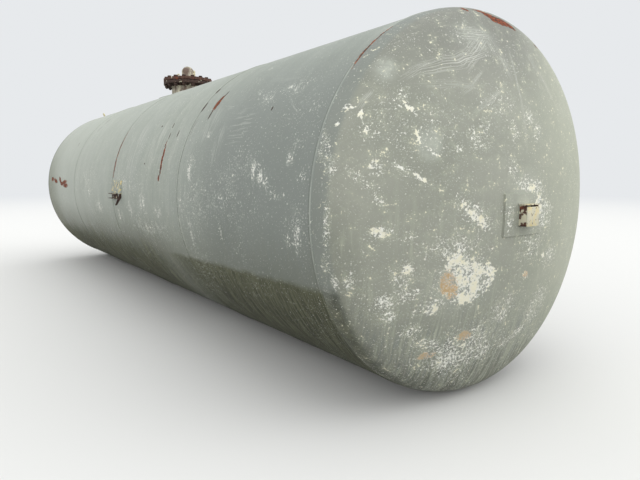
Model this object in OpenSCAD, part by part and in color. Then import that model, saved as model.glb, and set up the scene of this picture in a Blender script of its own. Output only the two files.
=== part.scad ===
// Horizontal steel pressure tank: four rolled courses, two dished heads and a bolted top manway.
// It lies on level ground. Millimetres. X runs along the tank, towards the head that carries
// the bracket, and Z points up. The origin is on the ground under mid-length.

/* [Shell] */
// Outside diameter of the shell
tank_d = 2400; // [2000:10:2800]
// Width of one rolled course
course_w = 1800; // [1500:10:2400]
// Plate thickness of the shell and the heads
wall = 12; // [8:1:20]

/* [Dished heads] */
// Outside radius of the shallow crown
crown_r = 2400; // [2000:10:3200]
// Outside radius of the knuckle between crown and skirt
knuckle_r = 240; // [160:5:320]
// Length of the straight skirt behind the knuckle
skirt_l = 40; // [25:1:80]

/* [Weld seams] */
// Width of a seam's groove at the outside face
groove_w = 16; // [12:1:24]
// Gap between the plates at the root of a seam
root_gap = 3; // [2:0.5:5]
// Width of the weld cap over the groove
cap_w = 24; // [24:1:34]
// Height of the weld caps of the seams round the tank
cap_h = 4; // [2.5:0.1:5]
// Height of the weld caps of the lengthwise seams
long_cap_h = 2.4; // [1.5:0.1:4]
// Height that is left of the caps under the tank, where they are worn flat by the ground
cap_worn_h = 0.4; // [0.3:0.1:1]
// Angle of the lengthwise seams of courses 1 and 3, from the top towards +Y
seam_angle_odd = 40; // [30:1:60]
// Angle of the lengthwise seams of courses 2 and 4, from the top towards +Y
seam_angle_even = 75; // [65:1:85]

/* [Manway] */
// Distance of the manway's centre from mid-length
manway_x = -710; // [-1100:5:-600]
// Outside diameter of the neck
neck_od = 406; // [350:1:440]
// Wall thickness of the neck
neck_wall = 10; // [8:1:14]
// Height of the flange face above the top of the shell
neck_rise = 160; // [130:1:220]
// Depth of the neck below the top of the shell
neck_drop = 45; // [40:1:80]
// Distance that the neck stops short of the flange face
neck_setback = 8; // [5:1:12]
// Outside diameter of the reinforcing plate
saddle_d = 720; // [620:5:800]
// Thickness of the reinforcing plate
saddle_t = 10; // [8:1:16]
// Outside diameter of flange and cover
flange_d = 600; // [590:1:660]
// Thickness of flange and cover, each with its raised face
flange_t = 36; // [28:1:44]
// Width of the raised faces around the neck's bore
face_w = 32; // [24:1:36]
// Height of the raised faces
face_h = 2; // [1:0.5:4]
// Thickness of the flange's hub around the neck
hub_w = 22; // [16:1:28]
// Height of the hub under the flange
hub_h = 20; // [10:1:30]
// Thickness of the gasket
gasket_t = 3; // [2:0.5:5]
// Bolt circle diameter
bolt_pcd = 540; // [530:1:550]
// Number of bolt holes
bolt_n = 16; // [12:2:20]
// Diameter of a bolt hole
bolt_hole_d = 29; // [24:1:32]

/* [Cover fittings] */
// Outside diameter of the capped nozzle
nozzle_od = 150; // [120:1:180]
// Wall thickness of the nozzle and its cap
nozzle_wall = 7; // [5:0.5:10]
// Height of the nozzle's straight pipe
nozzle_h = 92; // [60:1:120]
// Offset of the handle from the cover's centre, towards -Y
handle_y = 140; // [130:1:170]
// Length of the handle between its legs
handle_l = 150; // [120:1:200]
// Height of the handle's bar centre above the cover
handle_h = 48; // [40:1:80]
// Diameter of the handle's bar
handle_bar = 18; // [14:1:22]
// Radius of the handle's bends, on the bar centre
handle_bend = 24; // [20:1:30]
// Offset of the lifting eye from the cover's centre, towards +X
eye_x = 190; // [170:1:200]
// Width of the lifting eye
eye_w = 60; // [50:1:70]
// Height of the eye's hole centre above the cover
eye_hole_h = 60; // [45:1:90]
// Thickness of the lifting eye
eye_t = 12; // [8:1:16]
// Hole in the lifting eye
eye_hole_d = 30; // [20:1:32]

/* [Lifting lugs] */
// Distance of the lugs from mid-length, towards the far head
lug_x = 3000; // [2400:10:3300]
// Angle of the lugs from the top, to each side
lug_angle = 21.5; // [15:0.5:27]
// Width of a lug
lug_w = 56; // [50:1:90]
// Height of a lug's hole centre above the shell
lug_hole_h = 24; // [20:1:40]
// Thickness of a lug
lug_t = 12; // [8:1:20]
// Hole in a lug
lug_hole_d = 22; // [16:1:26]

/* [Bracket on the near head] */
// Offset of the bracket's centre from the tank's axis, along Y
bracket_y = -68; // [-120:1:0]
// Offset of the bracket's centre from the tank's axis, along Z
bracket_z = -20; // [-60:1:20]
// Width of the pad under the bracket
pad_w = 350; // [260:5:420]
// Height of the pad under the bracket
pad_h = 235; // [200:5:300]
// Thickness of the pad
pad_t = 8; // [6:1:12]
// Width of the bracket
bracket_w = 118; // [90:1:160]
// Height of the bracket
bracket_h = 124; // [100:1:160]
// Depth of the bracket in front of the pad
bracket_d = 50; // [40:1:80]
// Thickness of the bracket's plates
bracket_t = 6; // [4:1:8]
// Open slot between the bracket's top plate and its front plate
bracket_slot = 9; // [6:1:14]

/* [Fittings on the flank] */
// Distance of the flank pad's centre from mid-length
flank_x = 180; // [150:5:400]
// Width of the flank pad
flank_w = 330; // [300:5:400]
// Height of the flank pad
flank_h = 130; // [110:5:180]
// Thickness of the flank pad
flank_t = 8; // [6:1:12]
// Height of the flank pad's centre above the tank's axis
flank_z = 72; // [70:1:120]
// Length of the channel under the flank pad
channel_l = 200; // [150:5:230]
// Height of the channel
channel_h = 54; // [40:1:70]
// Depth of the channel
channel_d = 42; // [30:1:60]
// Plate thickness of the channel
channel_t = 6; // [4:1:8]
// Thickness of the bent strap beside the channel
strap_t = 12; // [10:1:18]
// Height of the bent strap
strap_h = 115; // [90:1:130]
// Reach of the bent strap's foot from the shell
strap_reach = 62; // [50:1:80]
// Width of the bent strap's bar
strap_w = 16; // [12:1:20]

/* [Hidden] */

// Smoothness of the large circles and of the small ones
large_fn = 240;
small_fn = 48;
// Running gap between a part and the hole it stands in
fit_gap = 0.3;
// Overshoot of cutting shapes past the face they cut
over = 5;

shell_r = tank_d / 2;
inner_r = shell_r - wall;
axis_z = shell_r + cap_worn_h;
shell_top = axis_z + shell_r;
half_l = 2 * course_w;

// Middle of the head's crown sphere and the angle where crown and knuckle meet
crown_angle = asin((shell_r - knuckle_r) / (crown_r - knuckle_r));
crown_mid = skirt_l - (crown_r - knuckle_r) * cos(crown_angle);
apex_x = half_l + crown_mid + crown_r;

face_z = shell_top + neck_rise;
face_d = neck_od + 2 * face_w;
hub_d = neck_od + 2 * hub_w;
cover_z = face_z + gasket_t;
cover_top = cover_z + flange_t;

pad_face_r = crown_r + pad_t;
bracket_top_z = axis_z + bracket_z + bracket_h / 2;
bracket_front_x = apex_x + pad_t + bracket_d;
flank_bottom = axis_z + flank_z - flank_h / 2;
// Depth to which a lug is drawn into the shell before it is cut to the shell's curve
lug_sink = lug_t;

coating = [0.60, 0.64, 0.58];
weld_tone = [0.68, 0.70, 0.64];
rusty = [0.33, 0.23, 0.19];
pale = [0.75, 0.74, 0.66];

// Turns a shape drawn about Z onto the tank's axis, with its Z along +X
module on_axis(x = 0) {
    translate([x, 0, axis_z]) rotate([0, 90, 0]) children();
}

// Places a shape on top of the shell and swings it round the axis towards -Y
module on_shell(x, angle) {
    translate([x, 0, axis_z]) rotate([angle, 0, 0]) translate([0, 0, shell_r]) children();
}

// Solid core with the outside diameter of the shell, used to seat parts on it
module shell_core(x, length) {
    on_axis(x - length / 2) cylinder(r = shell_r, h = length, $fn = large_fn);
}

// Thin layer of plate on the outside of the shell
module shell_layer(x, length, thick) {
    difference() {
        on_axis(x - length / 2) cylinder(r = shell_r + thick, h = length, $fn = large_fn);
        shell_core(x, length + 2 * over);
    }
}

// Ball with the curve of the near head's crown, or of a layer of plate on it
module crown_ball(radius) {
    translate([half_l + crown_mid, 0, axis_z]) sphere(r = radius, $fn = large_fn);
}

// Groove between two plates: radius along x, the seam's middle at y = 0
module groove_profile() {
    polygon([[inner_r, -root_gap / 2], [shell_r, -groove_w / 2],
             [shell_r, groove_w / 2], [inner_r, root_gap / 2]]);
}

// The same groove, drawn on past both faces of the plate that it cuts
module groove_cutter() {
    polygon([[inner_r - over, -root_gap / 2], [inner_r, -root_gap / 2], [shell_r, -groove_w / 2],
             [shell_r + over, -groove_w / 2], [shell_r + over, groove_w / 2],
             [shell_r, groove_w / 2], [inner_r, root_gap / 2], [inner_r - over, root_gap / 2]]);
}

// Weld that fills the groove and rises above it as a low crowned cap of the given height
module weld_profile(high) {
    groove_profile();
    polygon([[shell_r, -cap_w / 2], [shell_r + 0.75 * high, -cap_w / 4],
             [shell_r + high, -cap_w / 12], [shell_r + high, cap_w / 12],
             [shell_r + 0.75 * high, cap_w / 4], [shell_r, cap_w / 2]]);
}

// Outline of a dished head filled down to the axis: radius along x, depth along y
module dish_profile(thin, back) {
    knuckle_mid = shell_r - knuckle_r;
    reach = 2 * crown_r;
    intersection() {
        translate([0, -back]) square([reach, reach]);
        union() {
            translate([0, -back]) square([shell_r - thin, skirt_l + back]);
            translate([knuckle_mid, skirt_l]) circle(r = knuckle_r - thin, $fn = large_fn);
            intersection() {
                translate([0, crown_mid]) circle(r = crown_r - thin, $fn = large_fn);
                polygon([[0, crown_mid], [reach * sin(crown_angle), crown_mid + reach * cos(crown_angle)],
                         [0, crown_mid + reach]]);
            }
        }
    }
}

// Dished head with its seam edge bevelled for the weld
module dished_head() {
    on_axis(half_l) rotate_extrude($fn = large_fn) difference() {
        dish_profile(0, 0);
        dish_profile(wall, over);
        groove_profile();
    }
}

// Lengthwise weld of the course that starts at x
module long_weld(x, angle) {
    color(weld_tone) on_axis(x + cap_w / 2) rotate([0, 0, 180 - angle])
        linear_extrude(height = course_w - cap_w) weld_profile(long_cap_h);
}

// Rolled course with both seam edges bevelled, open along its own lengthwise seam
module rolled_course(x, angle) {
    difference() {
        on_axis(x) rotate_extrude($fn = large_fn)
            polygon([[inner_r, root_gap / 2], [shell_r, groove_w / 2],
                     [shell_r, course_w - groove_w / 2], [inner_r, course_w - root_gap / 2]]);
        on_axis(x + cap_w / 2) rotate([0, 0, 180 - angle])
            linear_extrude(height = course_w - cap_w) groove_cutter();
    }
}

// Weld round the tank, with its cap worn flat where it lies on the ground
module girth_weld(x) {
    color(weld_tone) difference() {
        on_axis(x) rotate_extrude($fn = large_fn) weld_profile(cap_h);
        translate([x - cap_w, -shell_r, -cap_w]) cube([2 * cap_w, tank_d, cap_w]);
    }
}

module shell_course_1() {
    color(coating) rolled_course(course_w, seam_angle_odd);
}

module shell_course_2() {
    color(coating) rolled_course(0, seam_angle_even);
}

// The third course also carries the opening for the manway's neck
module shell_course_3() {
    color(coating) difference() {
        rolled_course(-course_w, seam_angle_odd);
        translate([manway_x, 0, axis_z])
            cylinder(d = neck_od + 2 * fit_gap, h = shell_r + over, $fn = large_fn);
    }
}

module shell_course_4() {
    color(coating) rolled_course(-2 * course_w, seam_angle_even);
}

module near_head() {
    color(coating) dished_head();
}

module far_head() {
    color(coating) mirror([1, 0, 0]) dished_head();
}

// Reinforcing plate, rolled to the shell and cut round
module manway_saddle() {
    color(coating) intersection() {
        shell_layer(manway_x, saddle_d + 2 * over, saddle_t);
        translate([manway_x, 0, axis_z]) difference() {
            cylinder(d = saddle_d, h = shell_r + 2 * saddle_t, $fn = large_fn);
            cylinder(d = neck_od + 2 * fit_gap, h = shell_r + 2 * saddle_t, $fn = large_fn);
        }
    }
}

module manway_neck() {
    length = neck_drop + neck_rise - neck_setback;
    color(rusty) translate([manway_x, 0, shell_top - neck_drop]) difference() {
        cylinder(d = neck_od, h = length, $fn = large_fn);
        translate([0, 0, -over])
            cylinder(d = neck_od - 2 * neck_wall, h = length + 2 * over, $fn = large_fn);
    }
}

// Ring of bolt holes that straddles the tank's centre line
module bolt_holes() {
    for (i = [0 : bolt_n - 1])
        rotate([0, 0, (i + 0.5) * 360 / bolt_n]) translate([bolt_pcd / 2, 0, -over])
            cylinder(d = bolt_hole_d, h = flange_t + 2 * over, $fn = small_fn);
}

// Slip-on flange: hub below, raised face above
module manway_flange() {
    bore_r = neck_od / 2 + fit_gap;
    color(rusty) translate([manway_x, 0, face_z - flange_t]) difference() {
        rotate_extrude($fn = large_fn)
            polygon([[bore_r, -hub_h], [hub_d / 2, -hub_h], [hub_d / 2, 0], [flange_d / 2, 0],
                     [flange_d / 2, flange_t - face_h], [face_d / 2, flange_t - face_h],
                     [face_d / 2, flange_t], [bore_r, flange_t]]);
        bolt_holes();
    }
}

module manway_gasket() {
    color([0.15, 0.14, 0.13]) translate([manway_x, 0, face_z]) difference() {
        cylinder(d = face_d, h = gasket_t, $fn = large_fn);
        translate([0, 0, -over]) cylinder(d = neck_od, h = gasket_t + 2 * over, $fn = large_fn);
    }
}

// Blind cover with its raised face below
module manway_cover() {
    color(rusty) translate([manway_x, 0, cover_z]) difference() {
        rotate_extrude($fn = large_fn)
            polygon([[0, 0], [face_d / 2, 0], [face_d / 2, face_h], [flange_d / 2, face_h],
                     [flange_d / 2, flange_t], [0, flange_t]]);
        bolt_holes();
    }
}

module cover_nozzle() {
    color(pale) translate([manway_x, 0, cover_top]) difference() {
        cylinder(d = nozzle_od, h = nozzle_h, $fn = small_fn * 2);
        translate([0, 0, -over])
            cylinder(d = nozzle_od - 2 * nozzle_wall, h = nozzle_h + 2 * over, $fn = small_fn * 2);
    }
}

// Round cap that closes the nozzle
module nozzle_cap() {
    color(pale) translate([manway_x, 0, cover_top + nozzle_h]) rotate_extrude($fn = small_fn * 2)
        difference() {
            circle(d = nozzle_od, $fn = small_fn * 2);
            circle(d = nozzle_od - 2 * nozzle_wall, $fn = small_fn * 2);
            translate([-nozzle_od, -nozzle_od]) square([nozzle_od, 2 * nozzle_od]);
            translate([-nozzle_od, -nozzle_od]) square([2 * nozzle_od, nozzle_od]);
        }
}

// Round bar bent into a low handle, with a leg at each end
module cover_handle() {
    leg_h = handle_h - handle_bend;
    color(pale) translate([manway_x, -handle_y, cover_top]) {
        for (side = [-1, 1]) {
            translate([side * handle_l / 2, 0, 0]) cylinder(d = handle_bar, h = leg_h, $fn = small_fn);
            translate([side * (handle_l / 2 - handle_bend), 0, leg_h])
                rotate([90, 0, 0]) rotate([0, 0, side == 1 ? 0 : 90])
                    rotate_extrude(angle = 90, $fn = small_fn * 2)
                        translate([handle_bend, 0]) circle(d = handle_bar, $fn = small_fn);
        }
        translate([-handle_l / 2 + handle_bend, 0, handle_h]) rotate([0, 90, 0])
            cylinder(d = handle_bar, h = handle_l - 2 * handle_bend, $fn = small_fn);
    }
}

// Plate with a hole and a round top about it, standing on z = 0 with its face across Y
module eye_plate(width, thick, hole, hole_h, sink) {
    rotate([90, 0, 0]) translate([0, 0, -thick / 2]) difference() {
        union() {
            translate([-width / 2, -sink, 0]) cube([width, hole_h + sink, thick]);
            translate([0, hole_h, 0]) cylinder(d = width, h = thick, $fn = small_fn * 2);
        }
        translate([0, hole_h, -over]) cylinder(d = hole, h = thick + 2 * over, $fn = small_fn);
    }
}

module cover_eye() {
    color(pale) translate([manway_x + eye_x, 0, cover_top])
        eye_plate(eye_w, eye_t, eye_hole_d, eye_hole_h, 0);
}

module lifting_lug(angle) {
    color(pale) difference() {
        on_shell(-lug_x, angle) eye_plate(lug_w, lug_t, lug_hole_d, lug_hole_h, lug_sink);
        shell_core(-lug_x, 2 * lug_w);
    }
}

// Plate on the crown of the near head that carries the bracket
module head_pad() {
    color(coating) intersection() {
        difference() {
            crown_ball(pad_face_r);
            crown_ball(crown_r);
        }
        translate([apex_x - pad_w / 2, bracket_y - pad_w / 2, axis_z + bracket_z - pad_h / 2])
            cube([pad_w, pad_w, pad_h]);
    }
}

// Plate of the bracket that reaches from the pad to a given X
module bracket_plate(y, z, width, height, front) {
    back = apex_x - bracket_d;
    difference() {
        translate([back, y, z]) cube([front - back, width, height]);
        crown_ball(pad_face_r);
    }
}

module bracket_side(y) {
    color(rusty) bracket_plate(y, bracket_top_z - bracket_h, bracket_t, bracket_h - bracket_t,
                               bracket_front_x - bracket_t);
}

module bracket_left() {
    bracket_side(bracket_y - bracket_w / 2);
}

module bracket_right() {
    bracket_side(bracket_y + bracket_w / 2 - bracket_t);
}

module bracket_top() {
    color(pale) bracket_plate(bracket_y - bracket_w / 2 - bracket_t, bracket_top_z - bracket_t,
                              bracket_w + 2 * bracket_t, bracket_t, bracket_front_x);
}

module bracket_front() {
    color(pale) translate([bracket_front_x - bracket_t, bracket_y - bracket_w / 2,
                           bracket_top_z - bracket_h])
        cube([bracket_t, bracket_w, bracket_h - bracket_t - bracket_slot]);
}

// Doubler plate on the -Y flank
module flank_pad() {
    color(pale) intersection() {
        shell_layer(flank_x, flank_w + 2 * over, flank_t);
        translate([flank_x - flank_w / 2, -shell_r - tank_d / 4, flank_bottom])
            cube([flank_w, tank_d / 2, flank_h]);
    }
}

// Short channel under the pad, open side out: Y along x, Z along y
module flank_channel() {
    depth = shell_r + channel_d;
    top = flank_bottom - fit_gap - axis_z;
    color(rusty) difference() {
        translate([flank_x - flank_w / 2, 0, axis_z]) rotate([90, 0, 90])
            linear_extrude(height = channel_l)
                polygon([[-shell_r + over, top], [-depth, top], [-depth, top - channel_t],
                         [-shell_r - channel_t, top - channel_t],
                         [-shell_r - channel_t, top - channel_h + channel_t],
                         [-depth, top - channel_h + channel_t], [-depth, top - channel_h],
                         [-shell_r + over, top - channel_h]]);
        shell_core(flank_x, 2 * flank_w);
    }
}

// Bar beside the channel that leans out from the shell towards its foot
module flank_strap() {
    top = flank_bottom - fit_gap - axis_z;
    color(rusty) difference() {
        translate([flank_x + flank_w / 2 - 2 * strap_t, 0, axis_z]) rotate([90, 0, 90])
            linear_extrude(height = strap_t)
                polygon([[-shell_r + over, top], [-shell_r - strap_w, top],
                         [-shell_r - strap_reach, top - strap_h],
                         [-shell_r - strap_reach + strap_w, top - strap_h],
                         [-shell_r + over, top - 2 * strap_w]]);
        shell_core(flank_x, 2 * flank_w);
    }
}

shell_course_1();
shell_course_2();
shell_course_3();
shell_course_4();
near_head();
far_head();
girth_weld(half_l);  // girth_weld_near_head
girth_weld(course_w);  // girth_weld_1_2
girth_weld(0);  // girth_weld_2_3
girth_weld(-course_w);  // girth_weld_3_4
girth_weld(-half_l);  // girth_weld_far_head
long_weld(course_w, seam_angle_odd);  // long_weld_1
long_weld(0, seam_angle_even);  // long_weld_2
long_weld(-course_w, seam_angle_odd);  // long_weld_3
long_weld(-2 * course_w, seam_angle_even);  // long_weld_4
manway_saddle();
manway_neck();
manway_flange();
manway_gasket();
manway_cover();
cover_nozzle();
nozzle_cap();
cover_handle();
cover_eye();
lifting_lug(lug_angle);  // lifting_lug_left
lifting_lug(-lug_angle);  // lifting_lug_right
head_pad();
bracket_left();
bracket_right();
bracket_top();
bracket_front();
flank_pad();
flank_channel();
flank_strap();
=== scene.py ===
import math

import bmesh
import bpy
import numpy as np
from bpy.props import FloatProperty, FloatVectorProperty, IntProperty, PointerProperty
from mathutils import Matrix, Vector, noise


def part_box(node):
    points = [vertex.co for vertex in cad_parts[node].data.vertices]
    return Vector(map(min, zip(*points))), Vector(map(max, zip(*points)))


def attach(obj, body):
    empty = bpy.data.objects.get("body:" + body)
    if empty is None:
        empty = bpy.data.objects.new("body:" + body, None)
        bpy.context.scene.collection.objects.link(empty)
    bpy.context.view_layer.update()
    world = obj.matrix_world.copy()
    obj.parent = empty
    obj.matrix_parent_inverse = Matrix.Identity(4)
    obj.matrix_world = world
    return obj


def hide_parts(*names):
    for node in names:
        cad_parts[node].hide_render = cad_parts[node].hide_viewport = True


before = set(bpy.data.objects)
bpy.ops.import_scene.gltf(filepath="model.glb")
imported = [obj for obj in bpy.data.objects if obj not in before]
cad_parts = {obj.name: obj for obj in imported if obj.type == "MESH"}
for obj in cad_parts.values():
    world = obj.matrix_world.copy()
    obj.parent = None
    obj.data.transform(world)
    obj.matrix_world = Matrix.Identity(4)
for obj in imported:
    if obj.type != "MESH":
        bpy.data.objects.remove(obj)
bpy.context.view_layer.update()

bl_info = {
    "name": "Horizontal pressure tank",
    "version": (1, 0, 0),
    "blender": (4, 5, 0),
    "location": "3D View > Sidebar > Tank",
    "description": "Dresses the packed tank with plates, weld beads, bolts and weathered paint",
    "category": "Add Mesh",
}

FULL_TURN = 2 * math.pi

# Places and sizes that the part's source gives, in metres
HALF_L = 3.6
COURSE_W = 1.8
MANWAY_X = -0.710
OPENING_R = 0.2033
SADDLE_T = 0.010
FLANGE_T = 0.036
PAD_T = 0.008
BRACKET_T = 0.006
# Angles of the lengthwise seams from the top towards +Y, on odd and on even courses
LONG_SEAM_ANGLES = (40.0, 75.0)

# Radius of the fillet beads, and distance between their ripples
SADDLE_FILLET = (0.006, 0.011)
NECK_FILLET = (0.005, 0.011)
PLATE_FILLET = (0.0035, 0.009)
# Distance of the neck's beads from its axis, and how far the plate's bead lies outside the plate
NECK_BEAD_R = 0.205
SADDLE_BEAD_OUT = 0.002
# Steps of a bead round the tank, and the angle from which a bead's edges count as sharp
RING_STEPS = 1440
BEAD_CREASE = 80.0
# How far the bracket pad's two faces lie outside the head's crown
PAD_FACES = (0.0078, -0.0005)

# Place and direction of the photo's camera
CAMERA_PLACE = (5.7308, -2.7438, 1.4093)
CAMERA_AIM = (-0.79159, 0.59755, -0.12774)
# Radius of the floor, and where it fades into the backdrop
FLOOR_R = 60.0
FLOOR_FADE = (8.0, 34.0)
SKY_TINT = (0.975, 0.985, 1.0)


def shade(red, green, blue):
    """Linear colour of a shade that is given as it looks on screen, 0 to 255."""
    def linear(value):
        value /= 255
        return value / 12.92 if value <= 0.04045 else ((value + 0.055) / 1.055) ** 2.4

    return linear(red), linear(green), linear(blue)


def colour(name, description, default):
    return FloatVectorProperty(name=name, description=description, default=default,
                               subtype="COLOR", size=3, min=0.0, max=1.0)


def length(name, description, default):
    return FloatProperty(name=name, description=description, default=default,
                         min=0.0, unit="LENGTH", subtype="DISTANCE", precision=4)


class TankSizes(bpy.types.PropertyGroup):
    """Sizes of the tank's plates and seams"""

    radius: length("Shell radius", "Outside radius of the shell", 1.2)
    axis_z: length("Axis height", "Height of the tank's axis above the ground", 1.2004)
    wall: length("Wall", "Plate thickness of shell and heads", 0.012)
    crown_r: length("Crown radius", "Outside radius of a head's crown", 2.4)
    knuckle_r: length("Knuckle radius", "Outside radius of a head's knuckle", 0.24)
    skirt: length("Skirt", "Straight length of a head behind its knuckle", 0.04)
    groove_w: length("Groove width", "Width of a seam's groove at the outside", 0.016)
    root_gap: length("Root gap", "Gap between two plates at the inside", 0.003)
    cap_w: length("Bead width", "Width of the seams' weld beads", 0.024)
    cap_h: length("Bead height", "Height of the beads round the tank", 0.004)
    long_cap_h: length("Long bead height", "Height of the lengthwise beads", 0.0024)
    ripple: length("Ripple", "Distance from one weld ripple to the next", 0.0157)
    wave: length("Waves", "Depth of the plates' shallow waves", 0.0022)
    steps: IntProperty(name="Steps", description="Steps of the plates round the tank",
                       default=320, min=48)


class TankColours(bpy.types.PropertyGroup):
    """Colours of the paint, the rust and the dirt"""

    shell: colour("Shell paint", "Grey-green paint of the shell", shade(160, 166, 156))
    # Darker paint; at the toes of the beads it is painted shade
    shell_dark_and_shade: colour("Shell paint, dark", "Damp and smoother paint", shade(131, 137, 130))
    shell_mild: colour("Shell paint, mild", "Slightly darker clouds in the paint", shade(152, 158, 147))
    # Chalky paint; on the beads' crests and in the beads' lift it is a painted highlight
    shell_chalk_and_highlight: colour("Chalky paint", "Paint that has gone chalky", shade(188, 193, 181))
    head: colour("Head paint", "Grey-beige paint of the heads", shade(154, 156, 143))
    head_dark: colour("Head paint, dark", "Dark cloudy paint of the heads", shade(141, 144, 131))
    # Painted shade: a darker tone laid on the heads near the top
    head_top_shade: colour("Head paint, top", "Rain-washed dull paint near the top", shade(124, 126, 117))
    # Pale paint of the heads; on their +Y side and low down it is also painted light
    head_pale_and_painted_light: colour("Head paint, pale", "Pale green side of the heads", shade(181, 185, 164))
    speck: colour("Specks", "White and cream specks of bare primer", shade(240, 240, 230))
    cream: colour("Cream", "Cream primer where paint came off", shade(238, 234, 208))
    # Olive dirt; at the beads' toes and low on the shell it also serves as painted shade
    dirt: colour("Dirt", "Olive dirt near the ground", shade(50, 52, 30))
    moss: colour("Moss stain", "Green stain above the dirt", shade(100, 101, 76))
    rust: colour("Rust", "Rust on bare plate", shade(156, 76, 34))
    tan: colour("Tan stain", "Light brown stain on bare primer", shade(192, 160, 114))
    rust_dark: colour("Dark rust", "Old rust and cracks", shade(62, 36, 27))
    # Near-black crust; on the manway's flange it is also painted shade
    soot_and_shade: colour("Soot brown", "Nearly black crust", shade(38, 32, 29))
    yellow: colour("Yellowed paint", "Yellow cream spots on the flank's plate", shade(214, 196, 130))
    iron: colour("Old iron", "Brown crust of the flange", shade(92, 68, 56))
    grey: colour("Grey crust", "Grey weathered paint of neck and nozzle", shade(146, 137, 124))
    pale: colour("Pale paint", "Faded cream paint of the fittings", shade(208, 203, 178))


class ManwaySizes(bpy.types.PropertyGroup):
    """Sizes of the manway's bolts and beads"""

    bolt_circle: length("Bolt circle", "Radius of the bolt circle", 0.270)
    bolt_count: IntProperty(name="Bolts", description="Number of cover bolts", default=16, min=4)
    bolt_d: length("Bolt diameter", "Diameter of the bolts", 0.027)
    flats: length("Across flats", "Width of heads and nuts across their flats", 0.041)
    head_h: length("Head height", "Height of a bolt's head", 0.015)
    nut_h: length("Nut height", "Height of a nut", 0.022)
    washer_r: length("Washer radius", "Outside radius of a washer", 0.025)
    washer_h: length("Washer thickness", "Thickness of a washer", 0.004)
    stub: length("Bolt end", "Length of thread that stands out of a nut", 0.009)


class StageLooks(bpy.types.PropertyGroup):
    """Floor, lamps and camera"""

    floor: colour("Floor", "Pale colour of the floor", (0.74, 0.74, 0.72))
    backdrop: colour("Backdrop", "Pale colour behind the tank", (0.80, 0.82, 0.84))
    bounce: FloatProperty(name="Bounce", description="Share of light that the floor gives back",
                          default=0.17, min=0.0, max=1.0, subtype="FACTOR")
    sky: FloatProperty(name="Sky", description="Strength of the even light", default=1.0, min=0.0)
    lamp: FloatProperty(name="Lamp", description="Strength of the soft lamps", default=1.2, min=0.0)
    focal: FloatProperty(name="Focal length", description="Focal length in millimetres",
                         default=28.92, min=1.0)


# Finishes


class Nodes:
    """Wires the nodes of a material or of the world."""

    def __init__(self, tree):
        self.nodes, self.links = tree.nodes, tree.links

    def feed(self, socket, value):
        if isinstance(value, bpy.types.NodeSocket):
            self.links.new(value, socket)
        elif socket.type == "RGBA":
            socket.default_value = (*value[:3], 1.0)
        else:
            socket.default_value = value

    def node(self, kind, values=(), **settings):
        """Outputs of a new node; its inputs take the values in order or by their keys."""
        node = self.nodes.new("ShaderNode" + kind)
        for key, value in settings.items():
            setattr(node, key, value)
        for key, value in values.items() if isinstance(values, dict) else enumerate(values):
            self.feed(node.inputs[key], value)
        return node.outputs

    def math(self, operation, *values):
        return self.node("Math", values, operation=operation)[0]

    def seen(self):
        """1 for rays that show the surface to the camera, and 0 for rays that only carry light."""
        rays = self.node("LightPath")
        straight = self.math("MAXIMUM", rays["Is Camera Ray"], rays["Is Glossy Ray"])
        return self.math("MAXIMUM", straight, rays["Is Transmission Ray"])


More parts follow.
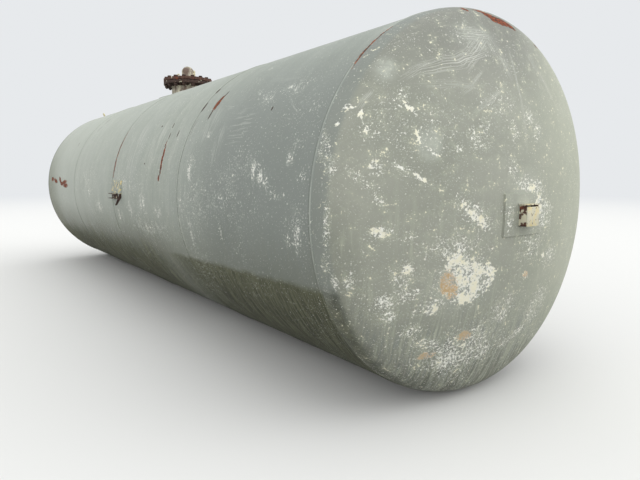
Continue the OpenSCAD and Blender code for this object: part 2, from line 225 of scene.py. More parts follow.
class Finish(Nodes):
    """Node material on the Principled shader, wired from Object coordinates."""

    def __init__(self, name):
        self.material = bpy.data.materials.new(name)
        self.material.use_nodes = True
        super().__init__(self.material.node_tree)
        self.shader = self.nodes["Principled BSDF"]
        self.place = self.node("TexCoord")["Object"]
        self.base = None

    def total(self, *values):
        result = values[0]
        for value in values[1:]:
            result = self.math("ADD", result, value)
        return result

    def times(self, *values):
        result = values[0]
        for value in values[1:]:
            result = self.math("MULTIPLY", result, value)
        return result

    def sway(self, value, reach):
        """Swing of a noise about its middle, times a reach."""
        return self.times(self.math("SUBTRACT", value, 0.5), reach)

    def vector(self, operation, *values, out=0):
        return self.node("VectorMath", values, operation=operation)[out]

    def parts(self, place):
        return self.node("SeparateXYZ", (place,))[:3]

    def join(self, x, y, z=0.0):
        return self.node("CombineXYZ", (x, y, z))[0]

    def mark(self, kind):
        """Strength of a kind of mark that the mesh carries on its points."""
        return self.node("Attribute", attribute_name=kind)["Fac"]

    def stretch(self, place, x, y, z=1.0):
        return self.node("Mapping", {"Vector": place, "Scale": (x, y, z)})[0]

    def from_spot(self, place, u, v, half_u, half_v, turn):
        """Distance from a spot's middle, measured so that its edge lies at 1."""
        if turn:
            place = self.node("VectorRotate", {"Vector": place, "Center": (u, v, 0.0), "Angle": -math.radians(turn)},
                              rotation_type="Z_AXIS")[0]
        local = self.vector("MULTIPLY_ADD", place, (1 / half_u, 1 / half_v, 0.0), (-u / half_u, -v / half_v, 0.0))
        return self.vector("LENGTH", local, out=1)

    def grain(self, place, scale, detail=3.0, roughness=0.5, out=0):
        return self.node("TexNoise", {"Vector": place, "Scale": scale, "Detail": detail,
                                      "Roughness": roughness})[out]

    def streaks(self, place, x, y, detail, roughness):
        """Noise with its own scale along each of the two flat directions."""
        return self.grain(self.stretch(place, x, y), 1.0, detail, roughness)

    def wander(self, place, scale, reach):
        """The place, moved about a little so that straight edges turn ragged."""
        push = self.vector("SUBTRACT", self.grain(place, scale, 3.0, 0.6, out=1), (0.5, 0.5, 0.5))
        return self.vector("ADD", place, self.vector("MULTIPLY", push, (reach, reach, 0.0)))

    def rise(self, value, low, high, start=0.0, end=1.0):
        """Smooth step from start, where the value is low, to end, where it is high."""
        return self.node("MapRange", (value, low, high, start, end), interpolation_type="SMOOTHSTEP")[0]

    def blend(self, amount, first, second):
        return self.node("Mix", {0: amount, 6: first, 7: second}, data_type="RGBA")[2]

    def coat(self, *values):
        """Lays a colour, the last value, over the base; its share is the product of the others."""
        *shares, colour = values
        self.base = self.blend(self.times(*shares), self.base, colour)

    def scaled_off(self, amount, fine):
        """Shows bare iron through the base."""
        ink = bpy.context.scene.tank_colours
        self.coat(amount, self.blend(self.rise(fine, 0.4, 0.6), ink.rust_dark, ink.iron))

    def spots(self, place, marks):
        """Strength of the strongest spot at a place: 1 in its middle and 0 from its edge on."""
        strongest = None
        for u, v, half_u, half_v, turn, strength in marks:
            away = self.from_spot(place, u, v, half_u, half_v, turn)
            here = self.math("MULTIPLY_ADD", away, -strength, strength)
            strongest = here if strongest is None else self.math("MAXIMUM", strongest, here)
        return self.math("MAXIMUM", strongest, 0.0)

    def scuffs(self, place, marks):
        """Fine parallel scratches that run along the longer side of each mark."""
        found, fineness = None, 9.0
        for u, v, half_u, half_v, turn, strength in marks:
            away = self.from_spot(place, u, v, half_u, half_v, turn)
            coarse = (half_u / 0.6, half_v / fineness) if half_u > half_v else (half_u / fineness, half_v / 0.6)
            along = self.node("Mapping", {"Vector": place, "Location": (u, v, 0.0), "Scale": (*coarse, 1.0),
                                          "Rotation": (0.0, 0.0, math.radians(turn))}, vector_type="TEXTURE")[0]
            lines = self.grain(along, 1.0, 2.0, 0.6)
            here = self.times(self.rise(lines, 0.50, 0.60), self.rise(away, 1.0, 0.45), strength)
            found = here if found is None else self.math("MAXIMUM", found, here)
        return found

    def relief(self, height, distance):
        return self.node("Bump", {"Strength": 1.0, "Distance": distance, "Height": height})[0]

    def done(self, roughness, normal):
        for key, value in (("Base Color", self.base), ("Roughness", roughness), ("Normal", normal)):
            self.feed(self.shader.inputs[key], value)
        return self.material


def round_tank(marks, radius):
    """Marks given by their place along the tank and their angle from the top, in degrees."""
    return [(x, math.radians(angle) * radius, half_x, math.radians(half_angle) * radius, turn, strength)
            for x, angle, half_x, half_angle, turn, strength in marks]


# Marks on the shell: place along the tank, angle from the top towards -Y, half width and half
# height (degrees round the tank), turn in degrees, strength
SHELL_RUST = [
    (1.402, 74.4, 0.026, 8.0, -5, 1.4), (1.386, 81.8, 0.022, 1.5, 0, 1.4), (1.378, 67.2, 0.013, 2.4, 3, 1.1),
    (2.058, 51.8, 0.04, 4.4, 6, 1.4), (2.076, 49.4, 0.014, 2.4, 8, 1.1), (2.046, 54.8, 0.013, 2.4, -6, 1.0),
    (0.036, 68.0, 0.014, 15.0, 0, 1.2), (0.04, 77.0, 0.02, 6.0, 2, 1.2), (0.012, 86.0, 0.024, 2.4, 10, 1.2),
    (1.824, 52.2, 0.01, 2.8, 0, 0.9), (-2.47, 86.2, 0.25, 2.0, -6, 1.3), (-2.36, 87.9, 0.18, 1.9, 0, 1.3),
    (-2.72, 84.4, 0.12, 2.2, 20, 1.2), (-3.05, 85.0, 0.17, 1.8, 10, 1.2), (-3.3, 84.0, 0.12, 2.0, 0, 1.2),
    (3.61, 42.0, 0.012, 11.0, 0, 1.3),
]
SHELL_CRACKS = [
    (1.822, 43.4, 0.015, 1.8, 0, 1.6), (1.824, 52.2, 0.015, 2.9, 0, 1.6), (2.085, 47.2, 0.01, 1.8, 8, 1.3),
    (1.356, 58.8, 0.01, 1.6, -6, 1.3), (1.392, 63.8, 0.01, 2.0, -6, 1.3), (1.569, 63.4, 0.009, 2.0, 0, 1.3),
    (1.408, 79.2, 0.01, 2.6, 3, 1.2), (1.064, 58.0, 0.02, 0.6, 0, 1.0), (0.97, 75.5, 0.016, 0.5, 0, 0.9),
    (2.981, 59.7, 0.01, 0.9, 0, 1.2), (2.05, 57.2, 0.012, 2.3, 0, 1.4), (-1.52, 41.0, 0.01, 4.6, 0, 0.8),
    (-1.54, 48.6, 0.009, 3.6, 0, 0.7), (-2.17, 59.0, 0.01, 2.6, 0, 0.7), (1.814, 34.0, 0.003, 7.0, 0, 0.8),
    (1.846, 62.0, 0.003, 7.0, 0, 0.7), (3.612, 37.0, 0.006, 3.0, 0, 1.0),
]
SHELL_SPECKS = [
    (2.045, 78.5, 0.1, 6.0, 0, 1.0), (1.895, 91.5, 0.06, 9.0, 0, 0.8), (1.815, 102.0, 0.03, 8.0, 0, 1.0),
    (2.02, 101.0, 0.05, 7.0, 0, 0.9), (2.55, 98.5, 0.03, 5.0, 0, 1.1), (1.35, 95.5, 0.12, 5.0, 20, 0.9),
    (0.98, 93.5, 0.14, 6.0, 0, 0.8), (0.56, 96.7, 0.12, 5.0, 0, 0.8), (0.2, 100.6, 0.15, 6.0, 0, 0.7),
    (-0.6, 98.0, 0.2, 6.0, 0, 0.8), (-0.97, 90.1, 0.12, 5.0, 0, 0.7), (3.05, 80.5, 0.22, 3.6, 25, 1.1),
    (3.24, 85.5, 0.16, 2.0, 0, 0.9), (3.37, 75.5, 0.06, 3.4, 25, 1.1), (3.49, 80.5, 0.05, 2.4, 25, 1.0),
    (3.39, 71.8, 0.03, 1.2, 0, 1.0), (3.12, 53.0, 0.2, 4.0, 0, 0.6), (2.84, 55.1, 0.12, 4.0, 0, 0.6),
    (2.66, 52.3, 0.08, 3.0, 0, 0.8), (2.2, 66.0, 0.1, 1.4, 0, 1.0), (2.35, 55.5, 0.05, 1.6, 0, 0.8),
    (2.45, 37.2, 0.02, 3.4, 10, 1.0), (3.4, 50.2, 0.03, 1.6, 0, 0.9), (3.45, 96.0, 0.16, 8.0, 0, 0.6),
    (2.03, 75.0, 0.04, 3.4, 0, 0.9), (0.45, 84.0, 0.45, 9.0, 0, 0.45), (-1.2, 84.0, 0.7, 12.0, 0, 0.4),
    (1.1, 103.0, 0.8, 7.0, 0, 0.5), (2.5, 88.0, 0.9, 14.0, 0, 0.25),
]
SHELL_SCUFFS = [
    (3.22, 60.0, 0.16, 0.5, 36, 0.8), (2.9, 48.0, 0.3, 1.2, 8, 0.35), (2.45, 37.0, 0.05, 1.6, 60, 0.8),
    (2.4, 70.0, 0.1, 9.0, 0, 0.45), (2.15, 62.0, 0.16, 9.0, 0, 0.4), (2.65, 64.0, 0.2, 8.0, 0, 0.35),
    (1.6, 70.0, 0.12, 12.0, 0, 0.4), (1.15, 68.0, 0.25, 14.0, 0, 0.4), (0.55, 68.0, 0.3, 16.0, 0, 0.35),
    (1.84, 103.0, 0.016, 9.0, 0, 0.9), (2.03, 100.0, 0.02, 7.0, 0, 0.7),
]
# Likely wear on the shell's other side, in the same form
BACK_RUST = [
    (2.9, -62.0, 0.02, 6.0, 6, 1.2), (0.62, -78.0, 0.016, 9.0, -3, 1.2), (-1.05, -58.0, 0.018, 5.0, 0, 1.2),
    (-2.6, -86.0, 0.15, 1.6, -8, 1.1), (-2.35, -84.5, 0.08, 1.4, 12, 1.1), (3.612, -48.0, 0.008, 9.0, 0, 1.1),
    (1.5, -30.0, 0.014, 3.0, 5, 1.1), (-3.1, -35.0, 0.04, 1.6, 0, 1.0),
]
BACK_CRACKS = [
    (1.822, -47.0, 0.013, 2.2, 0, 1.4), (0.1, -66.0, 0.009, 2.4, 0, 1.3), (-1.8, -73.0, 0.009, 2.8, 0, 1.3),
    (-0.55, -82.0, 0.016, 0.6, 0, 1.1), (2.35, -88.0, 0.012, 1.0, 0, 1.2),
]
BACK_SPECKS = [
    (3.2, -84.0, 0.24, 5.0, 20, 1.0), (2.3, -96.0, 0.3, 9.0, 0, 0.9), (2.75, -60.0, 0.14, 5.0, 0, 0.7),
    (1.55, -88.0, 0.3, 7.0, -20, 0.9), (0.75, -100.0, 0.35, 7.0, 0, 0.8), (0.1, -84.0, 0.22, 10.0, 0, 0.8),
    (-0.85, -96.0, 0.4, 8.0, 0, 0.8), (-1.5, -76.0, 0.16, 7.0, 0, 0.8), (-2.4, -98.0, 0.35, 7.0, 0, 0.8),
    (-3.05, -78.0, 0.24, 8.0, 0, 0.9), (-3.35, -100.0, 0.16, 8.0, 0, 0.8), (1.0, -45.0, 0.12, 4.0, 0, 0.6),
]
# Marks on the near head: place across (Y) and height (Z), half sizes, turn, strength
HEAD_RUST = [
    (-0.01, 2.316, 0.125, 0.046, -22, 1.6), (0.085, 2.306, 0.11, 0.034, -25, 1.4),
    (-0.095, 2.348, 0.07, 0.026, -14, 1.4), (-0.22, 2.345, 0.022, 0.042, 22, 1.5),
    (-0.045, 2.296, 0.035, 0.01, -30, 1.2), (0.02, 2.286, 0.035, 0.01, -30, 1.2),
    (0.403, 2.217, 0.026, 0.014, -30, 1.3),
]
HEAD_TAN = [
    (-0.59, 0.835, 0.066, 0.092, 15, 1.0), (-0.545, 0.775, 0.045, 0.055, -30, 0.9),
    (-0.382, 0.497, 0.062, 0.036, 0, 1.0), (-0.604, 0.409, 0.075, 0.03, 5, 0.9),
    (0.036, 0.815, 0.04, 0.03, 0, 0.8),
]
HEAD_CREAM = [
    (-0.455, 0.825, 0.21, 0.15, -8, 1.3), (-0.33, 0.845, 0.09, 0.095, 0, 1.2),
    (-0.57, 0.93, 0.07, 0.08, 30, 1.0), (-0.545, 0.985, 0.03, 0.06, 0, 0.8),
    (-0.45, 1.18, 0.13, 0.03, -32, 1.2), (-0.372, 1.12, 0.045, 0.026, -20, 1.0),
    (-0.528, 1.247, 0.026, 0.022, 0, 1.0), (-0.99, 1.118, 0.045, 0.03, -20, 1.2),
    (-1.025, 1.13, 0.02, 0.012, 0, 1.0), (-0.655, 0.69, 0.06, 0.04, 20, 0.9),
    (-0.83, 0.925, 0.05, 0.04, 0, 0.8), (-0.368, 0.43, 0.035, 0.03, 0, 0.8), (0.327, 0.892, 0.04, 0.05, 0, 0.7),
    (0.205, 0.917, 0.03, 0.03, 0, 0.7), (0.036, 0.815, 0.045, 0.03, 0, 0.9),
    (-0.32, 1.003, 0.025, 0.025, 0, 0.8), (0.085, 1.235, 0.07, 0.085, 0, 0.8),
    (-0.02, 1.33, 0.12, 0.03, 0, 0.8), (0.08, 1.345, 0.06, 0.04, 0, 0.8), (-0.775, 1.595, 0.008, 0.055, 8, 1.1),
    (-0.705, 1.52, 0.055, 0.008, -36, 1.0), (-1.05, 1.742, 0.045, 0.014, -10, 1.2),
    (-1.03, 1.705, 0.016, 0.03, -12, 1.2), (-0.8, 1.735, 0.05, 0.014, -48, 1.2),
    (-0.78, 1.39, 0.05, 0.014, -32, 1.1), (-1.01, 1.45, 0.026, 0.026, 0, 1.1),
    (-1.025, 1.625, 0.02, 0.03, 0, 1.1), (-1.1, 1.66, 0.018, 0.012, 0, 1.1),
    (-0.889, 1.862, 0.016, 0.012, 0, 0.9),
]
HEAD_SPECKS = [
    (-1.15, 1.56, 0.05, 0.13, 0, 1.3), (-1.16, 1.45, 0.05, 0.08, 0, 1.2), (-1.07, 1.38, 0.16, 0.035, -35, 1.2),
    (-0.99, 1.28, 0.1, 0.03, -48, 1.2), (-1.005, 1.44, 0.06, 0.07, 0, 1.1), (-1.02, 1.62, 0.08, 0.06, 0, 1.2),
    (-0.86, 1.43, 0.12, 0.03, -25, 0.9), (-0.83, 1.79, 0.035, 0.09, -30, 1.2),
    (-0.72, 2.1, 0.12, 0.08, 20, 1.1), (-0.6, 2.04, 0.08, 0.04, 0, 0.8), (-0.4, 2.14, 0.09, 0.05, -20, 1.0),
    (-0.37, 1.64, 0.05, 0.1, -20, 1.3), (-0.45, 1.62, 0.07, 0.05, 0, 1.2), (-0.4, 1.56, 0.1, 0.05, 0, 1.1),
    (-0.55, 1.545, 0.05, 0.03, 0, 1.0), (-0.13, 1.65, 0.05, 0.08, 0, 1.2), (0.04, 1.74, 0.06, 0.06, -30, 1.3),
    (0.11, 1.65, 0.05, 0.09, -35, 1.2), (-0.17, 1.44, 0.06, 0.08, 0, 1.3), (-0.06, 1.36, 0.12, 0.06, 0, 1.3),
    (0.07, 1.33, 0.1, 0.06, 0, 1.3), (-0.2, 1.8, 0.28, 0.12, -15, 0.5), (-0.66, 1.7, 0.35, 0.15, 0, 0.2),
    (-0.95, 1.65, 0.25, 0.2, 0, 0.35), (-1.185, 1.15, 0.028, 0.16, 0, 1.3), (-1.17, 0.96, 0.03, 0.08, 5, 1.5),
    (-1.135, 0.86, 0.03, 0.06, 15, 1.1), (-1.1, 0.87, 0.05, 0.07, 0, 0.9), (-0.93, 0.75, 0.07, 0.06, -20, 1.1),
    (-0.89, 0.67, 0.05, 0.05, -20, 1.1), (-0.83, 0.9, 0.13, 0.09, -15, 1.3), (-0.8, 0.8, 0.12, 0.08, -10, 1.0),
    (-0.66, 0.71, 0.16, 0.05, 15, 1.2), (-0.5, 0.85, 0.26, 0.22, 0, 1.1), (-0.74, 0.57, 0.1, 0.06, 0, 1.0),
    (-0.63, 0.49, 0.14, 0.05, -10, 1.0), (-0.53, 0.42, 0.07, 0.04, 0, 1.1), (-0.5, 0.33, 0.12, 0.05, -20, 1.1),
    (0.1, 0.4, 0.16, 0.035, 25, 1.4), (-0.2, 0.34, 0.14, 0.07, 25, 1.2), (-0.12, 0.62, 0.14, 0.14, 30, 0.9),
    (0.3, 0.6, 0.2, 0.16, 40, 0.9), (0.05, 0.98, 0.2, 0.12, 0, 0.8), (0.3, 0.9, 0.12, 0.12, 0, 0.9),
    (-0.45, 1.2, 0.2, 0.08, -30, 0.9), (-0.98, 1.12, 0.1, 0.06, 0, 0.9), (-0.2, 1.18, 0.05, 0.14, 0, 0.8),
    (-0.85, 1.1, 0.1, 0.05, 0, 0.6), (-0.35, 0.42, 0.4, 0.22, 0, 0.8), (-0.6, 1.02, 0.3, 0.1, 0, 0.7),
    (0.15, 1.15, 0.16, 0.2, 0, 0.8),
]
HEAD_SCUFFS = [
    (-0.5, 2.005, 0.38, 0.05, 18, 1.0), (-0.27, 2.178, 0.18, 0.045, 3, 0.9), (-0.3, 1.815, 0.2, 0.02, 33, 1.1),
    (-0.4, 1.905, 0.16, 0.02, 38, 1.0), (-0.02, 1.8, 0.46, 0.016, 88, 1.0), (-0.995, 1.78, 0.09, 0.03, 50, 1.2),
    (-0.33, 2.08, 0.22, 0.06, 35, 0.8), (-0.12, 2.08, 0.18, 0.05, -62, 0.7), (-0.56, 1.88, 0.24, 0.03, 6, 0.6),
    (0.3, 2.0, 0.26, 0.03, -50, 0.7), (-0.72, 1.94, 0.14, 0.03, 30, 0.8),
]
HEAD_HAZE = [
    (-0.875, 1.93, 0.085, 0.11, 0, 0.9), (-0.28, 2.17, 0.22, 0.13, 0, 0.5),
    (-0.715, 1.56, 0.085, 0.11, -12, 1.2), (-0.47, 0.8, 0.3, 0.2, 0, 0.5), (-0.05, 1.25, 0.22, 0.22, 0, 0.5),
]
# Rust on the far head, in the same form
FAR_RUST = [
    (0.25, 2.3, 0.09, 0.026, 10, 1.3), (-0.56, 0.52, 0.06, 0.04, 0, 1.0), (0.64, 1.48, 0.02, 0.07, 20, 1.2),
]
# Turn that carries the near head's other marks over to the far head, in degrees
FAR_TURN = 137
# Thin pale marks on the near head, which are finer than its mesh
THIN_CREAM = [
    (-0.775, 1.595, 0.008, 0.055, 8, 1.3), (-0.705, 1.52, 0.06, 0.008, -36, 1.2),
    (-0.8, 1.735, 0.055, 0.012, -48, 1.3), (-0.78, 1.39, 0.06, 0.012, -32, 1.2),
    (-1.05, 1.742, 0.05, 0.014, -20, 1.3), (-1.03, 1.7, 0.014, 0.034, -12, 1.3),
]
# A head's knuckle is laid out flat for its marks: from this X down and this distance from the axis
# out, its depth adds to the distance in this share
KNEE_X = 3.855
KNEE_R = 1.0667
KNEE_SHARE = 0.62


def laid_out(y, z):
    """Place of a mark on a head once its knuckle is laid out flat."""
    size = sizes()
    out = math.hypot(y, z - size.axis_z)
    over = out - (size.radius - size.knuckle_r)
    x = HALF_L + size.skirt + math.sqrt(max(0.0, size.knuckle_r ** 2 - max(0.0, over) ** 2))
    grow = 1 + KNEE_SHARE * max(0.0, KNEE_X - x) / out if out > KNEE_R else 1.0
    return y * grow, size.axis_z + (z - size.axis_z) * grow


def turned(marks, angle):
    """Marks turned round the tank's axis, for the head that the photo doesn't show."""
    cos, sin = math.cos(math.radians(angle)), math.sin(math.radians(angle))
    middle = sizes().axis_z
    return [(u * cos - (v - middle) * sin, middle + u * sin + (v - middle) * cos, half_u, half_v, turn + angle,
             strength) for u, v, half_u, half_v, turn, strength in marks]


def on_head(marks):
    """Marks on a head, with their middles laid out flat."""
    return [(*laid_out(mark[0], mark[1]), *mark[2:]) for mark in marks]


def head_flat(x, y, z):
    """Flat coordinates of places on a head, as arrays."""
    axis_z = sizes().axis_z
    out = np.maximum(np.hypot(y, z - axis_z), 0.01)
    grow = 1 + KNEE_SHARE * np.maximum(0.0, KNEE_X - np.abs(x)) / out
    return y * grow, axis_z + (z - axis_z) * grow


def shell_flat(x, y, z):
    """Flat coordinates of places on the shell, as arrays."""
    size = sizes()
    return x, np.arctan2(-y, z - size.axis_z) * size.radius


def strength_at(u, v, marks):
    """Strength of the strongest mark at each place, as an array."""
    strongest = np.zeros(len(u))
    for mark_u, mark_v, half_u, half_v, turn, strength in marks:
        cos, sin = math.cos(math.radians(turn)), math.sin(math.radians(turn))
        along = ((u - mark_u) * cos + (v - mark_v) * sin) / half_u
        across = ((v - mark_v) * cos - (u - mark_u) * sin) / half_v
        strongest = np.maximum(strongest, strength * (1 - np.hypot(along, across)))
    return strongest


def keep_marks(mesh, flatten, **kinds):
    """Stores on a mesh's points how strong each kind of mark is there."""
    places = np.empty(len(mesh.vertices) * 3, dtype=np.float32)
    mesh.vertices.foreach_get("co", places)
    u, v = flatten(*places.reshape(-1, 3).T.astype(float))
    for kind, marks in kinds.items():
        layer = mesh.attributes.new(kind, "FLOAT", "POINT")
        layer.data.foreach_set("value", strength_at(u, v, marks).astype(np.float32))


def paint_over(f, ink, flat, rust, cracks, cream, cream_tone, specks, scuffs):
    """Puts scratches, specks, bare primer and rust on the paint, and gives its roughness and relief."""
    f.coat(scuffs, 0.42, ink.speck)
    creamy = f.rise(f.grain(flat, 12.0, 3.0), 0.50, 0.7, 0.0, 0.35)
    f.coat(specks, f.blend(creamy, ink.speck, cream_tone))
    f.coat(cream, cream_tone)
    pits = f.grain(flat, 55.0, 5.0, 0.70)
    crust = f.blend(f.rise(pits, 0.44, 0.58), ink.rust_dark, ink.rust)
    f.coat(rust, crust)
    f.coat(cracks, ink.rust_dark)
    bare = f.math("MAXIMUM", rust, cracks)
    height = f.total(f.times(specks, -0.5), f.times(cream, -0.4), f.times(rust, f.math("SUBTRACT", pits, 1.3)))
    peel = f.times(f.grain(f.place, 320.0, 2.0, 0.5), 0.10)
    waves = f.times(f.grain(f.place, 26.0, 2.0, 0.5), 0.35)
    normal = f.relief(f.total(height, peel, waves), 0.0012)
    roughness = f.total(f.rise(f.grain(f.place, 3.0, 3.0), 0.3, 0.7, 0.52, 0.64), f.times(specks, 0.2),
                        f.times(bare, 0.3), f.times(cream, 0.2))
    return roughness, normal


def shell_paint(name, lift=0.0):
    """Weathered paint of the shell, laid out flat by length along the tank and length round it."""
    ink = bpy.context.scene.tank_colours
    size = sizes()
    f = Finish(name)
    x, y, z = f.parts(f.place)
    around = f.math("ARCTAN2", f.times(y, -1.0), f.math("SUBTRACT", z, size.axis_z))
    flat = f.join(x, f.times(around, size.radius))
    ragged = f.wander(f.wander(flat, 9.0, 0.03), 70.0, 0.014)

    clouds = f.streaks(flat, 0.8, 0.5, 4.0, 0.6)
    bent = f.wander(flat, 1.3, 0.10)
    runs = f.streaks(bent, 9.0, 0.9, 5.0, 0.65)
    fine_runs = f.streaks(bent, 48.0, 3.5, 4.0, 0.65)
    mottle = f.grain(flat, 14.0, 6.0, 0.68)
    f.base = f.blend(f.rise(clouds, 0.34, 0.66), ink.shell, ink.shell_mild)
    f.coat(f.rise(runs, 0.42, 0.76), 0.40, ink.shell_chalk_and_highlight)
    f.coat(f.rise(fine_runs, 0.50, 0.76), 0.34, ink.shell_chalk_and_highlight)
    f.coat(f.rise(fine_runs, 0.50, 0.26), 0.30, ink.shell_dark_and_shade)
    f.coat(f.rise(mottle, 0.50, 0.72), 0.36, ink.shell_chalk_and_highlight)
    f.coat(f.rise(x, 1.6, -2.6), 0.55, ink.shell_chalk_and_highlight)
    f.coat(f.rise(x, 1.5, 2.7), f.rise(around, 0.3, 1.2, 0.3, 1.0), 0.95, ink.shell_dark_and_shade)

    # Painted shade at the toes of the beads round the tank, and a painted highlight on their crests
    seam = f.math("PINGPONG", x, COURSE_W / 2)
    painted_toe_shade = f.times(f.rise(seam, 0.024, 0.015), f.rise(seam, 0.009, 0.013), f.rise(mottle, 0.30, 0.60, 0.25, 0.75))
    f.coat(painted_toe_shade, f.blend(0.5, ink.dirt, ink.shell_dark_and_shade))
    painted_crest_highlight = f.times(f.rise(seam, 0.007, 0.003), f.rise(mottle, 0.35, 0.60, 0.15, 0.55))
    f.coat(painted_crest_highlight, ink.shell_chalk_and_highlight)

    # Dirt low on the flank, with a line where it ends; below it the flank darkens towards the ground, partly dirt and
    # partly painted shade under the tank
    low = f.total(z, f.sway(runs, -0.25), f.sway(fine_runs, -0.30), f.times(x, -0.03))
    line = f.total(z, f.sway(mottle, 0.04), f.sway(clouds, 0.14), f.sway(fine_runs, -0.02), f.times(x, -0.03))
    tide = f.times(f.rise(line, 0.735, 0.650), f.rise(x, 0.4, 2.0, 0.3, 0.92))
    dirt = f.math("MAXIMUM", tide, f.times(f.rise(low, 1.15, 0.50), f.rise(x, 2.4, 0.6, 0.40, 0.95)))
    grime_and_shade = f.blend(f.rise(fine_runs, 0.42, 0.60), ink.dirt, ink.moss)
    mossy = f.times(f.rise(line, 0.45, 0.72), f.rise(x, 0.4, 2.0), f.rise(mottle, 0.35, 0.6, 0.3, 0.8))
    grime_and_shade = f.blend(mossy, grime_and_shade, ink.moss)
    # Darkest towards the ground: partly dirt, partly painted shade under the tank
    grime_and_shade = f.blend(f.rise(z, 0.02, 0.45), ink.dirt, grime_and_shade)
    f.coat(dirt, grime_and_shade)
    f.coat(f.rise(x, -2.6, -3.6), f.rise(z, 2.2, 1.0), 0.65, ink.moss)

    # Specks, denser where the mesh's marks say so
    clumps = f.rise(f.streaks(f.wander(flat, 6.0, 0.10), 16.0, 7.0, 4.0, 0.65), 0.40, 0.60, 0.2, 1.0)
    dense = f.total(f.times(f.math("MINIMUM", f.mark("speckle"), 0.60), clumps, 2.1),
                    f.rise(f.grain(flat, 1.7, 4.0, 0.65), 0.42, 0.72, 0.0, 0.40), f.rise(around, 0.9, 1.5, 0.0, 0.10))
    chips = f.streaks(flat, 68.0, 46.0, 6.0, 0.67)
    grit = f.streaks(flat, 150.0, 90.0, 3.0, 0.60)
    specks = f.math("MAXIMUM", f.rise(f.total(chips, f.times(dense, 0.114)), 0.656, 0.670),
                    f.rise(f.total(grit, f.times(dense, 0.085)), 0.676, 0.694))
    specks = f.times(specks, f.rise(z, 0.2, 0.7, 0.3, 0.95))
    veil = f.times(f.rise(dense, 0.1, 1.2), f.rise(mottle, 0.40, 0.62), 0.35)
    f.coat(veil, ink.shell_chalk_and_highlight)

    rust = f.spots(ragged, round_tank(SHELL_RUST + BACK_RUST, size.radius))
    cracks = f.spots(f.wander(flat, 60.0, 0.008), round_tank(SHELL_CRACKS + BACK_CRACKS, size.radius))
    torn = f.math("SUBTRACT", f.total(f.times(mottle, 0.5), f.times(chips, 0.5)), 0.5)
    broken = f.times(torn, f.rise(rust, 0.0, 0.3), 5.0)
    rust = f.rise(f.total(rust, broken), 0.18, 0.32)
    scuffs = f.scuffs(f.wander(flat, 2.0, 0.05), round_tank(SHELL_SCUFFS, size.radius))
    roughness, normal = paint_over(f, ink, flat, rust, f.rise(cracks, 0.12, 0.40), 0.0, ink.cream, specks, scuffs)
    # Painted highlight: the lift lays paler paint over the whole of a bead
    if lift:
        f.coat(lift, ink.shell_chalk_and_highlight)
    return f.done(f.math("MAXIMUM", roughness, f.times(dirt, 0.97)), normal)


